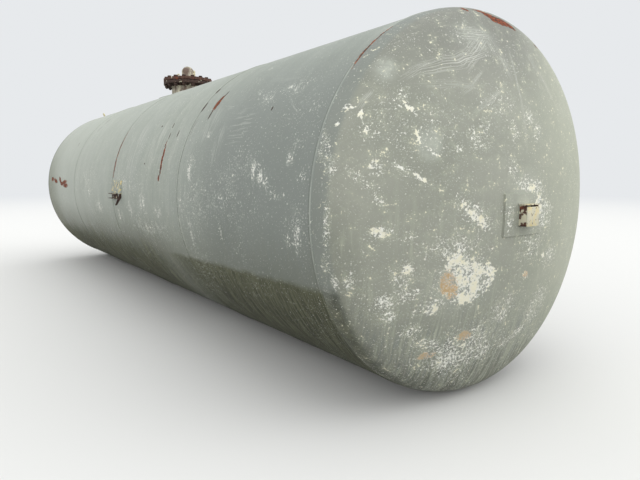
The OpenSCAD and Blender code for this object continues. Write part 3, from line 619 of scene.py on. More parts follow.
def head_paint(name, rust_marks, tan_marks, thin_marks, scuff_marks):
    """Weathered paint of a dished head, laid out by place across and height."""
    ink = bpy.context.scene.tank_colours
    size = sizes()
    f = Finish(name)
    x, y, z = f.parts(f.place)
    from_axis = f.vector("SUBTRACT", f.join(y, z), (0.0, size.axis_z, 0.0))
    out = f.math("MAXIMUM", f.vector("LENGTH", from_axis, out=1), 0.01)
    knee = f.times(f.math("MAXIMUM", f.math("SUBTRACT", KNEE_X, f.math("ABSOLUTE", x)), 0.0), KNEE_SHARE)
    grow = f.total(f.math("DIVIDE", knee, out), 1.0)
    flat = f.vector("MULTIPLY_ADD", from_axis, f.join(grow, grow), (0.0, size.axis_z, 0.0))
    ragged = f.wander(f.wander(flat, 9.0, 0.05), 60.0, 0.022)

    clouds = f.grain(flat, 1.6, 4.0, 0.6)
    mottle = f.grain(flat, 13.0, 6.0, 0.70)
    runs = f.streaks(f.wander(flat, 3.0, 0.05), 36.0, 3.0, 4.0, 0.65)
    f.base = f.blend(f.rise(clouds, 0.36, 0.64), ink.head, ink.head_dark)
    # Painted light: the head turns paler towards its +Y side
    f.coat(f.rise(y, -0.4, 0.9), 0.75, ink.head_pale_and_painted_light)
    # Painted shade: darker near the head's top, most on its -Y half
    f.coat(f.rise(z, 1.7, 2.25), f.rise(y, 0.7, 0.0), 0.95, ink.head_top_shade)
    f.coat(f.rise(mottle, 0.46, 0.74), 0.40, ink.head_pale_and_painted_light)
    f.coat(f.rise(mottle, 0.50, 0.30), 0.25, ink.head_dark)
    haze = f.times(f.math("MINIMUM", f.mark("haze"), 0.6), f.rise(mottle, 0.3, 0.6, 0.4, 1.0), 0.9)
    f.coat(haze, ink.shell_chalk_and_highlight)
    # Pale runs low on the head, made strong enough to also lift the lower head as painted light
    f.coat(f.rise(runs, 0.52, 0.72), f.rise(z, 1.6, 0.6), 0.70, ink.head_pale_and_painted_light)

    # Drips and dirt at the foot, the dark knuckle beside the seam, and painted shade along the bead's toe
    low = f.total(z, f.sway(runs, 0.40), f.sway(mottle, 0.3))
    drips = f.streaks(f.wander(flat, 3.0, 0.03), 85.0, 5.0, 3.0, 0.60)
    f.coat(f.rise(drips, 0.52, 0.38), f.rise(z, 0.85, 0.35), 0.75, ink.shell_dark_and_shade)
    f.coat(f.rise(drips, 0.52, 0.66), f.rise(z, 0.85, 0.35), 0.60, ink.head_pale_and_painted_light)
    foot = f.rise(low, 0.52, 0.04)
    f.coat(foot, f.rise(runs, 0.42, 0.62, 0.60, 0.05), ink.dirt)
    lower = f.total(z, f.sway(mottle, 0.25))
    side = f.times(f.rise(f.total(x, f.sway(mottle, 0.04)), 3.775, 3.685), f.rise(lower, 0.86, 0.70))
    f.coat(f.rise(x, 3.745, 3.705), f.rise(y, 0.2, -0.6, 0.25, 0.75), ink.shell_dark_and_shade)
    f.coat(f.times(side, 0.80), f.blend(f.rise(mottle, 0.35, 0.62), ink.dirt, ink.moss))
    # Painted shade: a thin dark line on the head at the toe of the bead
    f.coat(f.rise(x, 3.618, 3.612), f.rise(mottle, 0.3, 0.6, 0.2, 0.7), ink.shell_dark_and_shade)

    # Specks, then ragged patches of bare primer with tan stains
    clumps = f.rise(f.grain(f.wander(flat, 6.0, 0.10), 10.0, 4.0, 0.65), 0.38, 0.58, 0.5, 1.1)
    dense = f.total(f.times(f.math("MINIMUM", f.mark("speckle"), 0.55), clumps, f.rise(z, 2.1, 1.6, 0.70, 1.65)),
                    f.rise(f.grain(flat, 2.3, 4.0, 0.65), 0.40, 0.70, 0.0, 0.48), f.rise(z, 0.8, 0.3, 0.0, 0.2))
    chips = f.grain(flat, 60.0, 6.0, 0.66)
    grit = f.streaks(flat, 150.0, 120.0, 3.0, 0.60)
    specks = f.math("MAXIMUM", f.rise(f.total(chips, f.times(dense, 0.106)), 0.653, 0.667),
                    f.rise(f.total(grit, f.times(dense, 0.085)), 0.672, 0.690))
    torn = f.sway(f.total(f.times(mottle, 0.5), f.times(chips, 0.5)), 3.4)
    thin = f.spots(ragged, on_head(thin_marks))
    cream = f.rise(f.total(f.math("MINIMUM", f.math("MAXIMUM", f.mark("bare"), thin), 0.38), torn), 0.28, 0.36)
    cream_tone = f.blend(f.rise(mottle, 0.42, 0.64), ink.speck, ink.cream)
    stained = f.spots(ragged, on_head(tan_marks))
    tan = f.total(f.math("MINIMUM", stained, 0.42), f.times(torn, 0.8), f.sway(grit, 1.3))
    tan = f.times(f.rise(tan, 0.22, 0.46), f.rise(stained, 0.0, 0.12))
    cream_tone = f.blend(f.times(tan, 0.9), cream_tone, ink.tan)
    cream = f.math("MAXIMUM", cream, f.times(f.rise(tan, 0.1, 0.4), 0.85))
    veil = f.times(f.rise(dense, 0.1, 1.2), f.rise(mottle, 0.40, 0.62), f.rise(z, 2.1, 1.6, 0.15, 0.40))
    f.coat(veil, ink.head_pale_and_painted_light)
    rust = f.total(f.spots(ragged, on_head(rust_marks)), f.sway(chips, 1.2))
    scuffs = f.scuffs(f.wander(flat, 1.6, 0.10), on_head(scuff_marks))
    roughness, normal = paint_over(f, ink, flat, f.rise(rust, 0.20, 0.36), 0.0, cream, cream_tone, specks, scuffs)
    return f.done(roughness, normal)


def iron_finish(name, paint_left=0.0, dark=0.0):
    """Rusty steel with brown scale, orange bloom and, where asked, leftovers of pale paint."""
    ink = bpy.context.scene.tank_colours
    f = Finish(name)
    scale = f.grain(f.place, 38.0, 6.0, 0.68)
    bloom = f.grain(f.place, 13.0, 4.0, 0.6)
    fine = f.grain(f.place, 160.0, 3.0, 0.6)
    f.base = f.blend(f.rise(scale, 0.40, 0.62), ink.rust_dark, ink.iron)
    f.coat(f.rise(bloom, 0.50, 0.68), f.rise(scale, 0.42, 0.56), 0.6 * (1 - dark), ink.rust)
    # Near-black soot; on the manway's flange it stands for the shade under the cover's rim, as painted shade
    if dark:
        f.coat(f.rise(fine, 0.7, 0.3, 0.4, 1.0), dark, ink.soot_and_shade)
    pale = f.rise(f.grain(f.place, 24.0, 5.0, 0.6), 0.64 - 0.22 * paint_left, 0.67 - 0.22 * paint_left)
    f.coat(pale, ink.pale)
    height = f.total(scale, f.times(fine, 0.4), f.times(pale, 0.35))
    return f.done(f.rise(fine, 0.3, 0.7, 0.75, 0.95), f.relief(height, 0.003))


def pale_finish(name, worn=0.5):
    """Faded cream paint with chips, rust stains and grey dirt."""
    ink = bpy.context.scene.tank_colours
    f = Finish(name)
    chips = f.grain(f.place, 75.0, 5.0, 0.66)
    stains = f.grain(f.stretch(f.place, 24.0, 24.0, 14.0), 1.0, 5.0, 0.65)
    fine = f.grain(f.place, 220.0, 2.0, 0.5)
    f.base = f.blend(f.rise(stains, 0.45, 0.62, 0.0, 0.8), ink.pale, ink.yellow)
    f.coat(f.rise(stains, 0.50, 0.34, 0.0, 0.40), ink.shell)
    bare = f.rise(chips, 0.70 - 0.14 * worn, 0.73 - 0.14 * worn)
    edge = f.rise(chips, 0.66 - 0.14 * worn, 0.70 - 0.14 * worn)
    f.coat(edge, 0.6, ink.iron)
    f.scaled_off(bare, fine)
    height = f.total(f.times(bare, -0.6), f.times(fine, 0.15), f.times(stains, 0.2))
    return f.done(f.rise(bare, 0.0, 1.0, 0.55, 0.9), f.relief(height, 0.0012))


def spotted_finish(name):
    """Grey-green paint with yellow cream spots and dark pits."""
    ink = bpy.context.scene.tank_colours
    f = Finish(name)
    spots = f.grain(f.place, 19.0, 5.0, 0.66)
    pits = f.grain(f.place, 55.0, 4.0, 0.6)
    fine = f.grain(f.place, 200.0, 2.0, 0.5)
    f.base = f.blend(f.rise(fine, 0.3, 0.7), ink.shell, ink.shell_mild)
    f.coat(f.rise(spots, 0.53, 0.56), f.blend(f.rise(pits, 0.5, 0.6), ink.yellow, ink.speck))
    f.scaled_off(f.rise(pits, 0.62, 0.65), fine)
    height = f.total(f.times(f.rise(pits, 0.62, 0.65), -0.8), f.times(f.rise(spots, 0.53, 0.56), 0.3),
                     f.times(fine, 0.2))
    return f.done(f.rise(pits, 0.4, 0.7, 0.6, 0.85), f.relief(height, 0.0012))


def crust_finish(name):
    """Grey weathered paint with brown stains and pits."""
    ink = bpy.context.scene.tank_colours
    f = Finish(name)
    scale = f.grain(f.place, 30.0, 6.0, 0.68)
    stains = f.grain(f.stretch(f.place, 16.0, 16.0, 6.0), 1.0, 4.0, 0.6)
    fine = f.grain(f.place, 170.0, 3.0, 0.6)
    f.base = f.blend(f.rise(stains, 0.42, 0.70), ink.grey, ink.pale)
    f.coat(f.rise(stains, 0.54, 0.38), 0.70, ink.iron)
    f.scaled_off(f.rise(scale, 0.60, 0.66), fine)
    height = f.total(f.times(f.rise(scale, 0.58, 0.66), -0.6), f.times(fine, 0.3), f.times(scale, 0.5))
    return f.done(f.rise(fine, 0.3, 0.7, 0.7, 0.9), f.relief(height, 0.002))


def gasket_finish(name):
    """Dull black sheet with a breath of rust."""
    ink = bpy.context.scene.tank_colours
    f = Finish(name)
    fine = f.grain(f.place, 140.0, 4.0, 0.6)
    f.base = f.blend(f.rise(fine, 0.35, 0.65), (0.020, 0.018, 0.016), ink.rust_dark)
    return f.done(0.85, f.relief(fine, 0.0008))


FINISHES = {
    "shell_paint": shell_paint,
    # Bead paint is the shell's paint lifted paler, as a painted highlight
    "bead_paint": lambda name: shell_paint(name, 0.06),
    "near_head_paint": lambda name: head_paint(name, HEAD_RUST, HEAD_TAN, THIN_CREAM, HEAD_SCUFFS),
    "far_head_paint": lambda name: head_paint(name, FAR_RUST, FAR_RUST[1:2], turned(THIN_CREAM, FAR_TURN),
                                              turned(HEAD_SCUFFS, FAR_TURN)),
    "old_iron": iron_finish,
    "painted_iron": lambda name: iron_finish(name, 0.6),
    "cream_paint": pale_finish,
    "worn_cream_paint": lambda name: pale_finish(name, 0.9),
    "spotted_paint": spotted_finish,
    "dark_iron": lambda name: iron_finish(name, 0.0, 0.75),
    "scaled_iron": lambda name: iron_finish(name, 0.35, 0.7),
    "grey_crust": crust_finish,
    "gasket_sheet": gasket_finish,
}


def finish(name):
    """The material of that name, made on first use."""
    return bpy.data.materials.get(name) or FINISHES[name](name)


# Making pieces


def sizes():
    """The tank's sizes, as set in the panel."""
    return bpy.context.scene.tank_sizes


def placed(name, data):
    """A new object in the scene."""
    made = bpy.data.objects.new(name, data)
    bpy.context.scene.collection.objects.link(made)
    return made


def aimed(name, data, aim):
    """A new lamp or camera that looks along a direction."""
    made = placed(name, data)
    made.rotation_mode = "QUATERNION"
    made.rotation_quaternion = Vector(aim).to_track_quat("-Z", "Y")
    return made


def mesh_of(name, bm):
    """A new mesh from a bmesh, which is freed."""
    mesh = bpy.data.meshes.new(name)
    bm.to_mesh(mesh)
    bm.free()
    return mesh


def closed_up(bm):
    """Joins points that lie on each other and turns every face outwards."""
    bmesh.ops.remove_doubles(bm, verts=bm.verts, dist=1e-6)
    bmesh.ops.recalc_face_normals(bm, faces=bm.faces)
    return bm


def piece(name, bm, look, replaces=(), crease=35.0):
    """Turns a bmesh into a finished piece that rides on the tank."""
    limit = math.radians(crease)
    for edge in bm.edges:
        edge.smooth = len(edge.link_faces) == 2 and edge.calc_face_angle(0.0) < limit
    for face in bm.faces:
        face.smooth = True
    mesh = mesh_of(name, bm)
    mesh.materials.append(finish(look))
    made = placed(name, mesh)
    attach(made, "root")
    if replaces:
        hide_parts(*replaces)
    return made


def on_axis(bm):
    """Moves a mesh that was made round the X axis up to the tank's axis."""
    lift = Vector((0.0, 0.0, sizes().axis_z))
    bmesh.ops.translate(bm, verts=bm.verts, vec=lift)


def spun(outline, steps, closed):
    """Mesh spun round the X axis from an outline of (x, radius)."""
    mesh = bpy.data.meshes.new("outline")
    last = len(outline) - 1
    edges = [(i, i + 1) for i in range(last)] + ([(last, 0)] if closed else [])
    mesh.from_pydata([(x, 0.0, r) for x, r in outline], edges, [])
    holder = placed("outline", mesh)
    turn = holder.modifiers.new("turn", "SCREW")
    turn.axis, turn.angle, turn.screw_offset = "X", FULL_TURN, 0.0
    turn.steps = turn.render_steps = steps
    turn.use_merge_vertices, turn.merge_threshold = True, 1e-6
    bm = bmesh.new()
    bm.from_object(holder, bpy.context.evaluated_depsgraph_get())
    bpy.data.objects.remove(holder)
    bpy.data.meshes.remove(mesh)
    return closed_up(bm)


def between(start, end, count):
    """Evenly spaced values from start to end."""
    return [start + (end - start) * i / count for i in range(count + 1)]


def ripple(along, pitch, seed):
    """Height of a weld bead's ripples along its length, from 0 to 1."""
    beat = 0.5 + 0.5 * math.cos(FULL_TURN * along / pitch)
    drift = noise.noise(Vector((along * 9.0, seed, 0.0)))
    return min(0.98, max(0.0, 0.70 + 0.22 * beat + 0.20 * drift))


def plate_wave(place, seed, wave):
    """How far a rolled plate lies inside its true form at a place."""
    wide = noise.noise(Vector((place.x * 0.9 + seed, place.y * 1.3, place.z * 1.3)))
    close = noise.noise(Vector((place.x * 3.1, place.y * 3.3 + seed, place.z * 3.3)))
    return wave * (0.5 + 0.45 * wide + 0.2 * close)


def rolled_plate(number, start, end):
    """One course of the shell with bevelled seam edges and shallow waves."""
    size = sizes()
    inner = size.radius - size.wall
    face, root = size.groove_w / 2, size.root_gap / 2
    tuck_depth, tuck_reach, calm_reach = 0.0009, 0.07, 0.15
    outline = [(x, size.radius) for x in between(start + face, end - face, 44)]
    outline += [(x, inner) for x in between(end - root, start + root, 12)]
    bm = spun(outline, size.steps, True)
    for vert in bm.verts:
        edge_away = min(vert.co.x - start, end - vert.co.x)
        tuck = tuck_depth * math.exp(-(edge_away / tuck_reach) ** 2)
        settle = min(1.0, edge_away / calm_reach)
        depth = plate_wave(vert.co, 7.3 * number, size.wave) * settle + tuck
        radial = Vector((0.0, vert.co.y, vert.co.z))
        vert.co -= radial.normalized() * depth
    on_axis(bm)
    plate = piece(f"rolled_plate_{number}", bm, "shell_paint", (f"shell_course_{number}",))
    keep_marks(plate.data, shell_flat, speckle=round_tank(SHELL_SPECKS + BACK_SPECKS, size.radius))
    return plate


def cut_opening(plate, centre_x, radius):
    """Cuts the round opening for the manway's neck through a plate."""
    size = sizes()
    bm = bmesh.new()
    bmesh.ops.create_cone(bm, cap_ends=True, segments=96, radius1=radius, radius2=radius, depth=size.radius,
                          matrix=Matrix.Translation((centre_x, 0.0, size.axis_z + size.radius)))
    mesh = mesh_of("opening_cutter", bm)
    cutter = placed("opening_cutter", mesh)
    cut = plate.modifiers.new("opening", "BOOLEAN")
    cut.operation, cut.solver, cut.object = "DIFFERENCE", "EXACT", cutter
    ready = plate.evaluated_get(bpy.context.evaluated_depsgraph_get())
    plain = plate.data
    plate.data = bpy.data.meshes.new_from_object(ready)
    plate.modifiers.clear()
    plate.data.name = plate.name
    bpy.data.meshes.remove(plain)
    bpy.data.objects.remove(cutter)
    bpy.data.meshes.remove(mesh)


def crown_place():
    """Half angle of a head's crown, and the place of its middle along the tank."""
    size = sizes()
    reach = size.crown_r - size.knuckle_r
    spread = math.asin((size.radius - size.knuckle_r) / reach)
    return spread, HALF_L + size.skirt - reach * math.cos(spread)


def head_outline():
    """Outline of a dished head from its outside apex to its inside apex, as (x, radius)."""
    size = sizes()
    spread, middle = crown_place()
    points = []
    for thin, rings in ((0.0, 60), (size.wall, 14)):
        crown, knuckle = size.crown_r - thin, size.knuckle_r - thin
        side = [(middle + crown * math.cos(a), crown * math.sin(a)) for a in between(0.0, spread, rings)]
        side += [(HALF_L + size.skirt + knuckle * math.cos(a), size.radius - size.knuckle_r + knuckle * math.sin(a))
                 for a in between(spread, math.pi / 2, max(8, rings // 2))[1:]]
        root = size.groove_w / 2 if thin == 0.0 else size.root_gap / 2
        side.append((HALF_L + root, size.radius - thin))
        points += side if thin == 0.0 else side[::-1]
    return points


# Bumps and dents of the near head: place across, height, reach, depth inwards
HEAD_BUMPS = [(-0.885, 1.885, 0.085, -0.0030), (-0.705, 1.560, 0.085, 0.0035), (-0.470, 0.820, 0.150, 0.0015)]


def dished_head(name, node, look, sign, bumps, marks):
    """Crown, knuckle and skirt of one head; sign says to which end it belongs."""
    size = sizes()
    bm = spun([(sign * x, r) for x, r in head_outline()], size.steps, False)
    for vert in bm.verts:
        rim = abs(vert.co.x) - HALF_L
        inward = Vector((-sign * (1.0 if rim > size.skirt else 0.0), 0.0, 0.0))
        depth = plate_wave(vert.co, 31.0 * sign, size.wave) * min(1.0, max(0.0, rim - size.skirt) / 0.12)
        for y, z, reach, deep in bumps:
            away = math.hypot(vert.co.y - y, vert.co.z + size.axis_z - z) / reach
            depth += deep * math.exp(-away * away * 2.0)
        vert.co += inward * depth
    on_axis(bm)
    head = piece(name, bm, look, (node,))
    keep_marks(head.data, head_flat, **{kind: on_head(spots) for kind, spots in marks.items()})
    return head


def ring_bead(name, node, x):
    """Rippled weld bead round the tank, worn flat where it lies on the ground."""
    size = sizes()
    half, high = size.cap_w / 2, size.cap_h
    crown = [(-1.0, -0.05), (-0.86, 0.30), (-0.62, 0.66), (-0.34, 0.90), (0.0, 1.0),
             (0.34, 0.90), (0.62, 0.66), (0.86, 0.30), (1.0, -0.05)]
    outline = [(x - size.root_gap / 2, size.radius - size.wall)]
    outline += [(x + u * half, size.radius + v * high) for u, v in crown]
    outline += [(x + size.root_gap / 2, size.radius - size.wall)]
    bm = spun(outline, RING_STEPS, True)
    for vert in bm.verts:
        round_r = math.hypot(vert.co.y, vert.co.z)
        rise = round_r - size.radius
        if rise < -2 * high:
            continue
        along = math.atan2(vert.co.y, vert.co.z) * size.radius
        off = (vert.co.x - x) / half
        wide = 1.0 - 0.10 * (0.5 + 0.5 * noise.noise(Vector((along * 22.0, x, 3.0))))
        vert.co.x = x + (vert.co.x - x) * wide
        if rise > 0.0:
            tall = ripple(along - 0.006 * off * off, size.ripple, x)
            grow = (size.radius + rise * tall) / round_r
            vert.co.y *= grow
            vert.co.z *= grow
        vert.co.z = max(vert.co.z, -size.axis_z)
    on_axis(bm)
    return piece(name, bm, "bead_paint", (node,), BEAD_CREASE)


def swept(paths, radius, pitch):
    """Mesh of round rippled beads that run along open or closed paths of points."""
    bm = bmesh.new()
    for number, (points, closed) in enumerate(paths):
        curve = bpy.data.curves.new("bead_path", "CURVE")
        curve.dimensions, curve.bevel_depth, curve.bevel_resolution = "3D", radius, 1
        curve.use_fill_caps = True
        spline = curve.splines.new("POLY")
        spline.points.add(len(points) - 1)
        along, last = 0.0, points[0]
        for point, place in zip(spline.points, points):
            along += (place - last).length
            last = place
            point.co = (*place, 1.0)
            point.radius = 0.78 + 0.22 * ripple(along, pitch, number)
        spline.use_cyclic_u = closed
        holder = bpy.data.objects.new("bead_path", curve)
        mesh = bpy.data.meshes.new_from_object(holder)
        bm.from_mesh(mesh)
        bpy.data.objects.remove(holder)
        bpy.data.curves.remove(curve)
        bpy.data.meshes.remove(mesh)
    return closed_up(bm)


def long_bead(number, start, end, angle):
    """Low lengthwise bead on a course, at an angle from the top towards +Y."""
    size = sizes()
    half = size.cap_w / 2
    points = [Vector((x, 0.0, 0.0)) for x in between(start + half, end - half, 460)]
    bm = swept([(points, False)], half, size.ripple)
    flat = size.long_cap_h / half
    bmesh.ops.scale(bm, verts=bm.verts, vec=(1.0, 1.0, flat))
    bmesh.ops.translate(bm, verts=bm.verts, vec=(0.0, 0.0, size.radius))
    bmesh.ops.rotate(bm, verts=bm.verts, cent=(0, 0, 0), matrix=Matrix.Rotation(-math.radians(angle), 3, "X"))
    on_axis(bm)
    return piece(f"long_bead_{number}", bm, "bead_paint", (f"long_weld_{number}",), BEAD_CREASE)


def dressed(node, name, look, round_edge=0.0015, crease=35.0):
    """A copy of a CAD node with merged faces and slightly rounded edges, which stands for the node."""
    bm = bmesh.new()
    bm.from_mesh(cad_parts[node].data)
    bmesh.ops.remove_doubles(bm, verts=bm.verts, dist=1e-6)
    bmesh.ops.dissolve_limit(bm, angle_limit=math.radians(0.4), verts=bm.verts, edges=bm.edges)
    sharp = [e for e in bm.edges if len(e.link_faces) == 2 and e.calc_face_angle(0.0) > math.radians(crease)]
    if round_edge:
        bmesh.ops.bevel(bm, geom=sharp, offset=round_edge, offset_type="OFFSET", affect="EDGES", segments=2,
                        profile=0.5, material=-1, clamp_overlap=True)
    return piece(name, bm, look, (node,), crease)


def hexagon(bm, centre, flats, height):
    """Hexagonal head or nut with rounded-off corners, standing on its centre point."""
    made = bmesh.ops.create_cone(bm, cap_ends=True, segments=6, radius1=flats / math.sqrt(3),
                                 radius2=flats / math.sqrt(3), depth=height)
    verts = made["verts"]
    edges = dict.fromkeys(e for v in verts for e in v.link_edges)
    rims = [e for e in edges if abs(e.verts[0].co.z - e.verts[1].co.z) < 1e-6]
    ready = bmesh.ops.bevel(bm, geom=rims, offset=0.07 * flats, offset_type="OFFSET", affect="EDGES", segments=1,
                            profile=0.5, material=-1)
    verts = list(dict.fromkeys([*ready["verts"], *(v for v in verts if v.is_valid)]))
    bmesh.ops.translate(bm, verts=verts, vec=Vector(centre) + Vector((0.0, 0.0, height / 2)))


def disc(bm, centre, radius, height, segments=24):
    """Round plate or rod that stands on its centre point."""
    made = bmesh.ops.create_cone(bm, cap_ends=True, segments=segments, radius1=radius, radius2=radius, depth=height)
    bmesh.ops.translate(bm, verts=made["verts"], vec=Vector(centre) + Vector((0.0, 0.0, height / 2)))


def cover_bolts():
    """Bolts, washers and nuts all round the manway's cover, as one mesh."""
    size = bpy.context.scene.manway_sizes
    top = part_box("manway_cover")[1].z
    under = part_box("manway_flange")[1].z - FLANGE_T
    bm = bmesh.new()
    for i in range(size.bolt_count):
        turn = FULL_TURN * (i + 0.5) / size.bolt_count
        spin_by = 2.4 * i
        x, y = MANWAY_X + size.bolt_circle * math.cos(turn), size.bolt_circle * math.sin(turn)
        one = bmesh.new()
        disc(one, (0, 0, top), size.washer_r, size.washer_h)
        hexagon(one, (0, 0, top + size.washer_h), size.flats, size.head_h)
        disc(one, (0, 0, under - size.washer_h), size.washer_r, size.washer_h)
        hexagon(one, (0, 0, under - size.washer_h - size.nut_h), size.flats, size.nut_h)
        foot = under - size.washer_h - size.nut_h - size.stub
        disc(one, (0, 0, foot), size.bolt_d / 2, top - foot, 16)
        bmesh.ops.rotate(one, verts=one.verts, cent=(0, 0, 0), matrix=Matrix.Rotation(spin_by, 3, "Z"))
        bmesh.ops.translate(one, verts=one.verts, vec=(x, y, 0.0))
        mesh = mesh_of("bolt", one)
        bm.from_mesh(mesh)
        bpy.data.meshes.remove(mesh)
    bmesh.ops.recalc_face_normals(bm, faces=bm.faces)
    return piece("cover_bolts", bm, "dark_iron")


# Fillet welds and their paths


def fillet(name, look, paths, radius, pitch):
    """Beads along paths of points, as one piece that stands for no node."""
    return piece(name, swept(paths, radius, pitch), look, (), BEAD_CREASE)


def ring_path(radius, height):
    """Closed circle round the manway; height gives z at a place across."""
    count = int(FULL_TURN * radius / 0.004)
    points = []
    for i in range(count):
        turn = FULL_TURN * i / count
        y = radius * math.sin(turn)
        points.append(Vector((MANWAY_X + radius * math.cos(turn), y, height(y))))
    return points, True


def shell_height(extra=0.0):
    """Height of the shell's top at a place across, as a function."""
    size = sizes()
    return lambda y: size.axis_z + math.sqrt((size.radius + extra) ** 2 - y * y)


def corner_path(corners, closed, gap=0.004):
    """Points along straight lines from corner to corner."""
    corners = [Vector(c) for c in corners]
    ends = corners[1:] + (corners[:1] if closed else [])
    points = []
    for start, end in zip(corners, ends):
        count = max(1, round((end - start).length / gap))
        points += [start.lerp(end, i / count) for i in range(count)]
    if not closed:
        points.append(corners[-1])
    return points


def onto_shell(points):
    """Moves points out to the shell's -Y side."""
    size = sizes()
    return [Vector((p.x, -math.sqrt(size.radius * size.radius - (p.z - size.axis_z) ** 2), p.z)) for p in points]


def onto_crown(points, extra=0.0):
    """Moves points out to the near head's crown."""
    size = sizes()
    middle, r = crown_place()[1], size.crown_r + extra
    return [Vector((middle + math.sqrt(r * r - p.y ** 2 - (p.z - size.axis_z) ** 2), p.y, p.z)) for p in points]


# Steps


class TANK_OT_stage(bpy.types.Operator):
    """Floor, even light, soft lamps and the camera at the photo's angle"""

    bl_idname = "tank.stage"
    bl_label = "Stage"

    def execute(self, context):
        scene, looks = context.scene, context.scene.stage_looks
        scene.view_settings.view_transform = "Standard"
        self.floor(looks)
        self.even_light(scene, looks)
        self.lamps(looks)
        self.camera(scene, looks)
        return {"FINISHED"}

    def floor(self, looks):
        bm = bmesh.new()
        bmesh.ops.create_circle(bm, cap_ends=True, segments=96, radius=FLOOR_R)
        ground = placed("floor", mesh_of("floor", bm))
        f = Finish("floor")
        f.nodes.remove(f.shader)
        seen = f.seen()
        dull = (looks.bounce,) * 3
        near = f.node("BsdfDiffuse", {"Color": f.blend(seen, dull, looks.floor)})
        far = f.node("Emission", {"Color": looks.backdrop, "Strength": seen})
        away = f.rise(f.vector("LENGTH", f.place, out=1), *FLOOR_FADE)
        mix = f.node("MixShader", (away, near[0], far[0]))
        f.feed(f.nodes["Material Output"].inputs["Surface"], mix[0])
        ground.data.materials.append(f.material)

    def even_light(self, scene, looks):
        scene.world = bpy.data.worlds.new("sky")
        scene.world.use_nodes = True
        sky = Nodes(scene.world.node_tree)
        seen = sky.seen()
        light = sky.nodes["Background"]
        sky.feed(light.inputs["Color"], SKY_TINT)
        sky.feed(light.inputs["Strength"], looks.sky)
        behind = sky.node("Background", {"Color": looks.backdrop})
        mix = sky.node("MixShader", (seen, light.outputs[0], behind[0]))
        sky.feed(sky.nodes["World Output"].inputs["Surface"], mix[0])

    def lamps(self, looks):
        # Name, direction, share of the strength, softness in degrees
        lamps = (
            ("high_lamp", (-0.25, -0.35, -1.0), 0.60, 80.0),
            ("side_lamp", (-0.75, -0.75, -0.35), 0.5, 50.0),
            ("left_lamp", (-0.25, 1.0, -0.20), 0.62, 70.0),
            ("front_lamp", (-1.0, 0.15, -0.12), 0.42, 10.0),
        )
        for name, aim, share, soft in lamps:
            lamp = bpy.data.lights.new(name, "SUN")
            lamp.energy, lamp.angle = share * looks.lamp, math.radians(soft)
            aimed(name, lamp, aim)

    def camera(self, scene, looks):
        lens = bpy.data.cameras.new("camera")
        lens.lens, lens.sensor_width, lens.sensor_fit = looks.focal, 36.0, "HORIZONTAL"
        lens.clip_start, lens.clip_end = 0.05, 300.0
        scene.camera = aimed("camera", lens, CAMERA_AIM)
        scene.camera.location = CAMERA_PLACE


class TANK_OT_shell(bpy.types.Operator):
    """Four rolled courses of the shell"""

    bl_idname = "tank.shell"
    bl_label = "Shell courses"

    def execute(self, context):
        for number in range(1, 5):
            end = HALF_L - COURSE_W * (number - 1)
            plate = rolled_plate(number, end - COURSE_W, end)
            if number == 3:
                cut_opening(plate, MANWAY_X, OPENING_R)
        return {"FINISHED"}


class TANK_OT_heads(bpy.types.Operator):
    """Two dished heads"""

    bl_idname = "tank.heads"
    bl_label = "Dished heads"

    def execute(self, context):
        marks = {"speckle": HEAD_SPECKS, "bare": HEAD_CREAM, "haze": HEAD_HAZE}
        dished_head("dished_head_near", "near_head", "near_head_paint", 1, HEAD_BUMPS, marks)
        marks = {kind: turned(spots, FAR_TURN) for kind, spots in marks.items()}
        dished_head("dished_head_far", "far_head", "far_head_paint", -1, [], marks)
        return {"FINISHED"}


class TANK_OT_seams(bpy.types.Operator):
    """Weld beads round the tank and along its courses"""

    bl_idname = "tank.seams"
    bl_label = "Weld seams"

    def execute(self, context):
        rounds = ["girth_weld_near_head", "girth_weld_1_2", "girth_weld_2_3", "girth_weld_3_4", "girth_weld_far_head"]
        for number, node in enumerate(rounds):
            ring_bead(node.replace("girth_weld", "ring_bead"), node, HALF_L - COURSE_W * number)
        for number in range(1, 5):
            end = HALF_L - COURSE_W * (number - 1)
            long_bead(number, end - COURSE_W, end, LONG_SEAM_ANGLES[(number + 1) % 2])
        return {"FINISHED"}


class TANK_OT_manway(bpy.types.Operator):
    """Manway with its reinforcing plate, neck, flange, gasket, cover and bolts"""

    bl_idname = "tank.manway"
    bl_label = "Manway"

    def execute(self, context):
        dressed("manway_saddle", "reinforcing_plate", "shell_paint")
        dressed("manway_neck", "neck_pipe", "grey_crust")
        # Painted shade: the flange takes the near-black finish so that it stands for the shade under the cover's rim
        dressed("manway_flange", "neck_flange", "dark_iron")
        dressed("manway_cover", "blind_cover", "old_iron")
        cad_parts["manway_gasket"].data.materials.clear()
        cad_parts["manway_gasket"].data.materials.append(finish("gasket_sheet"))
        cover_bolts()
        return {"FINISHED"}


class TANK_OT_fittings(bpy.types.Operator):
    """Nozzle, cap, handle and eye on the cover, and the lifting lugs"""

    bl_idname = "tank.fittings"
    bl_label = "Cover fittings and lugs"

    def execute(self, context):
        dressed("cover_nozzle", "nozzle_pipe", "grey_crust")
        dressed("nozzle_cap", "nozzle_dome", "grey_crust", 0.0)
        dressed("cover_handle", "cover_grip", "cream_paint", 0.0)
        dressed("cover_eye", "cover_lift_eye", "cream_paint")
        dressed("lifting_lug_left", "lug_plate_left", "cream_paint")
        dressed("lifting_lug_right", "lug_plate_right", "cream_paint")
        return {"FINISHED"}


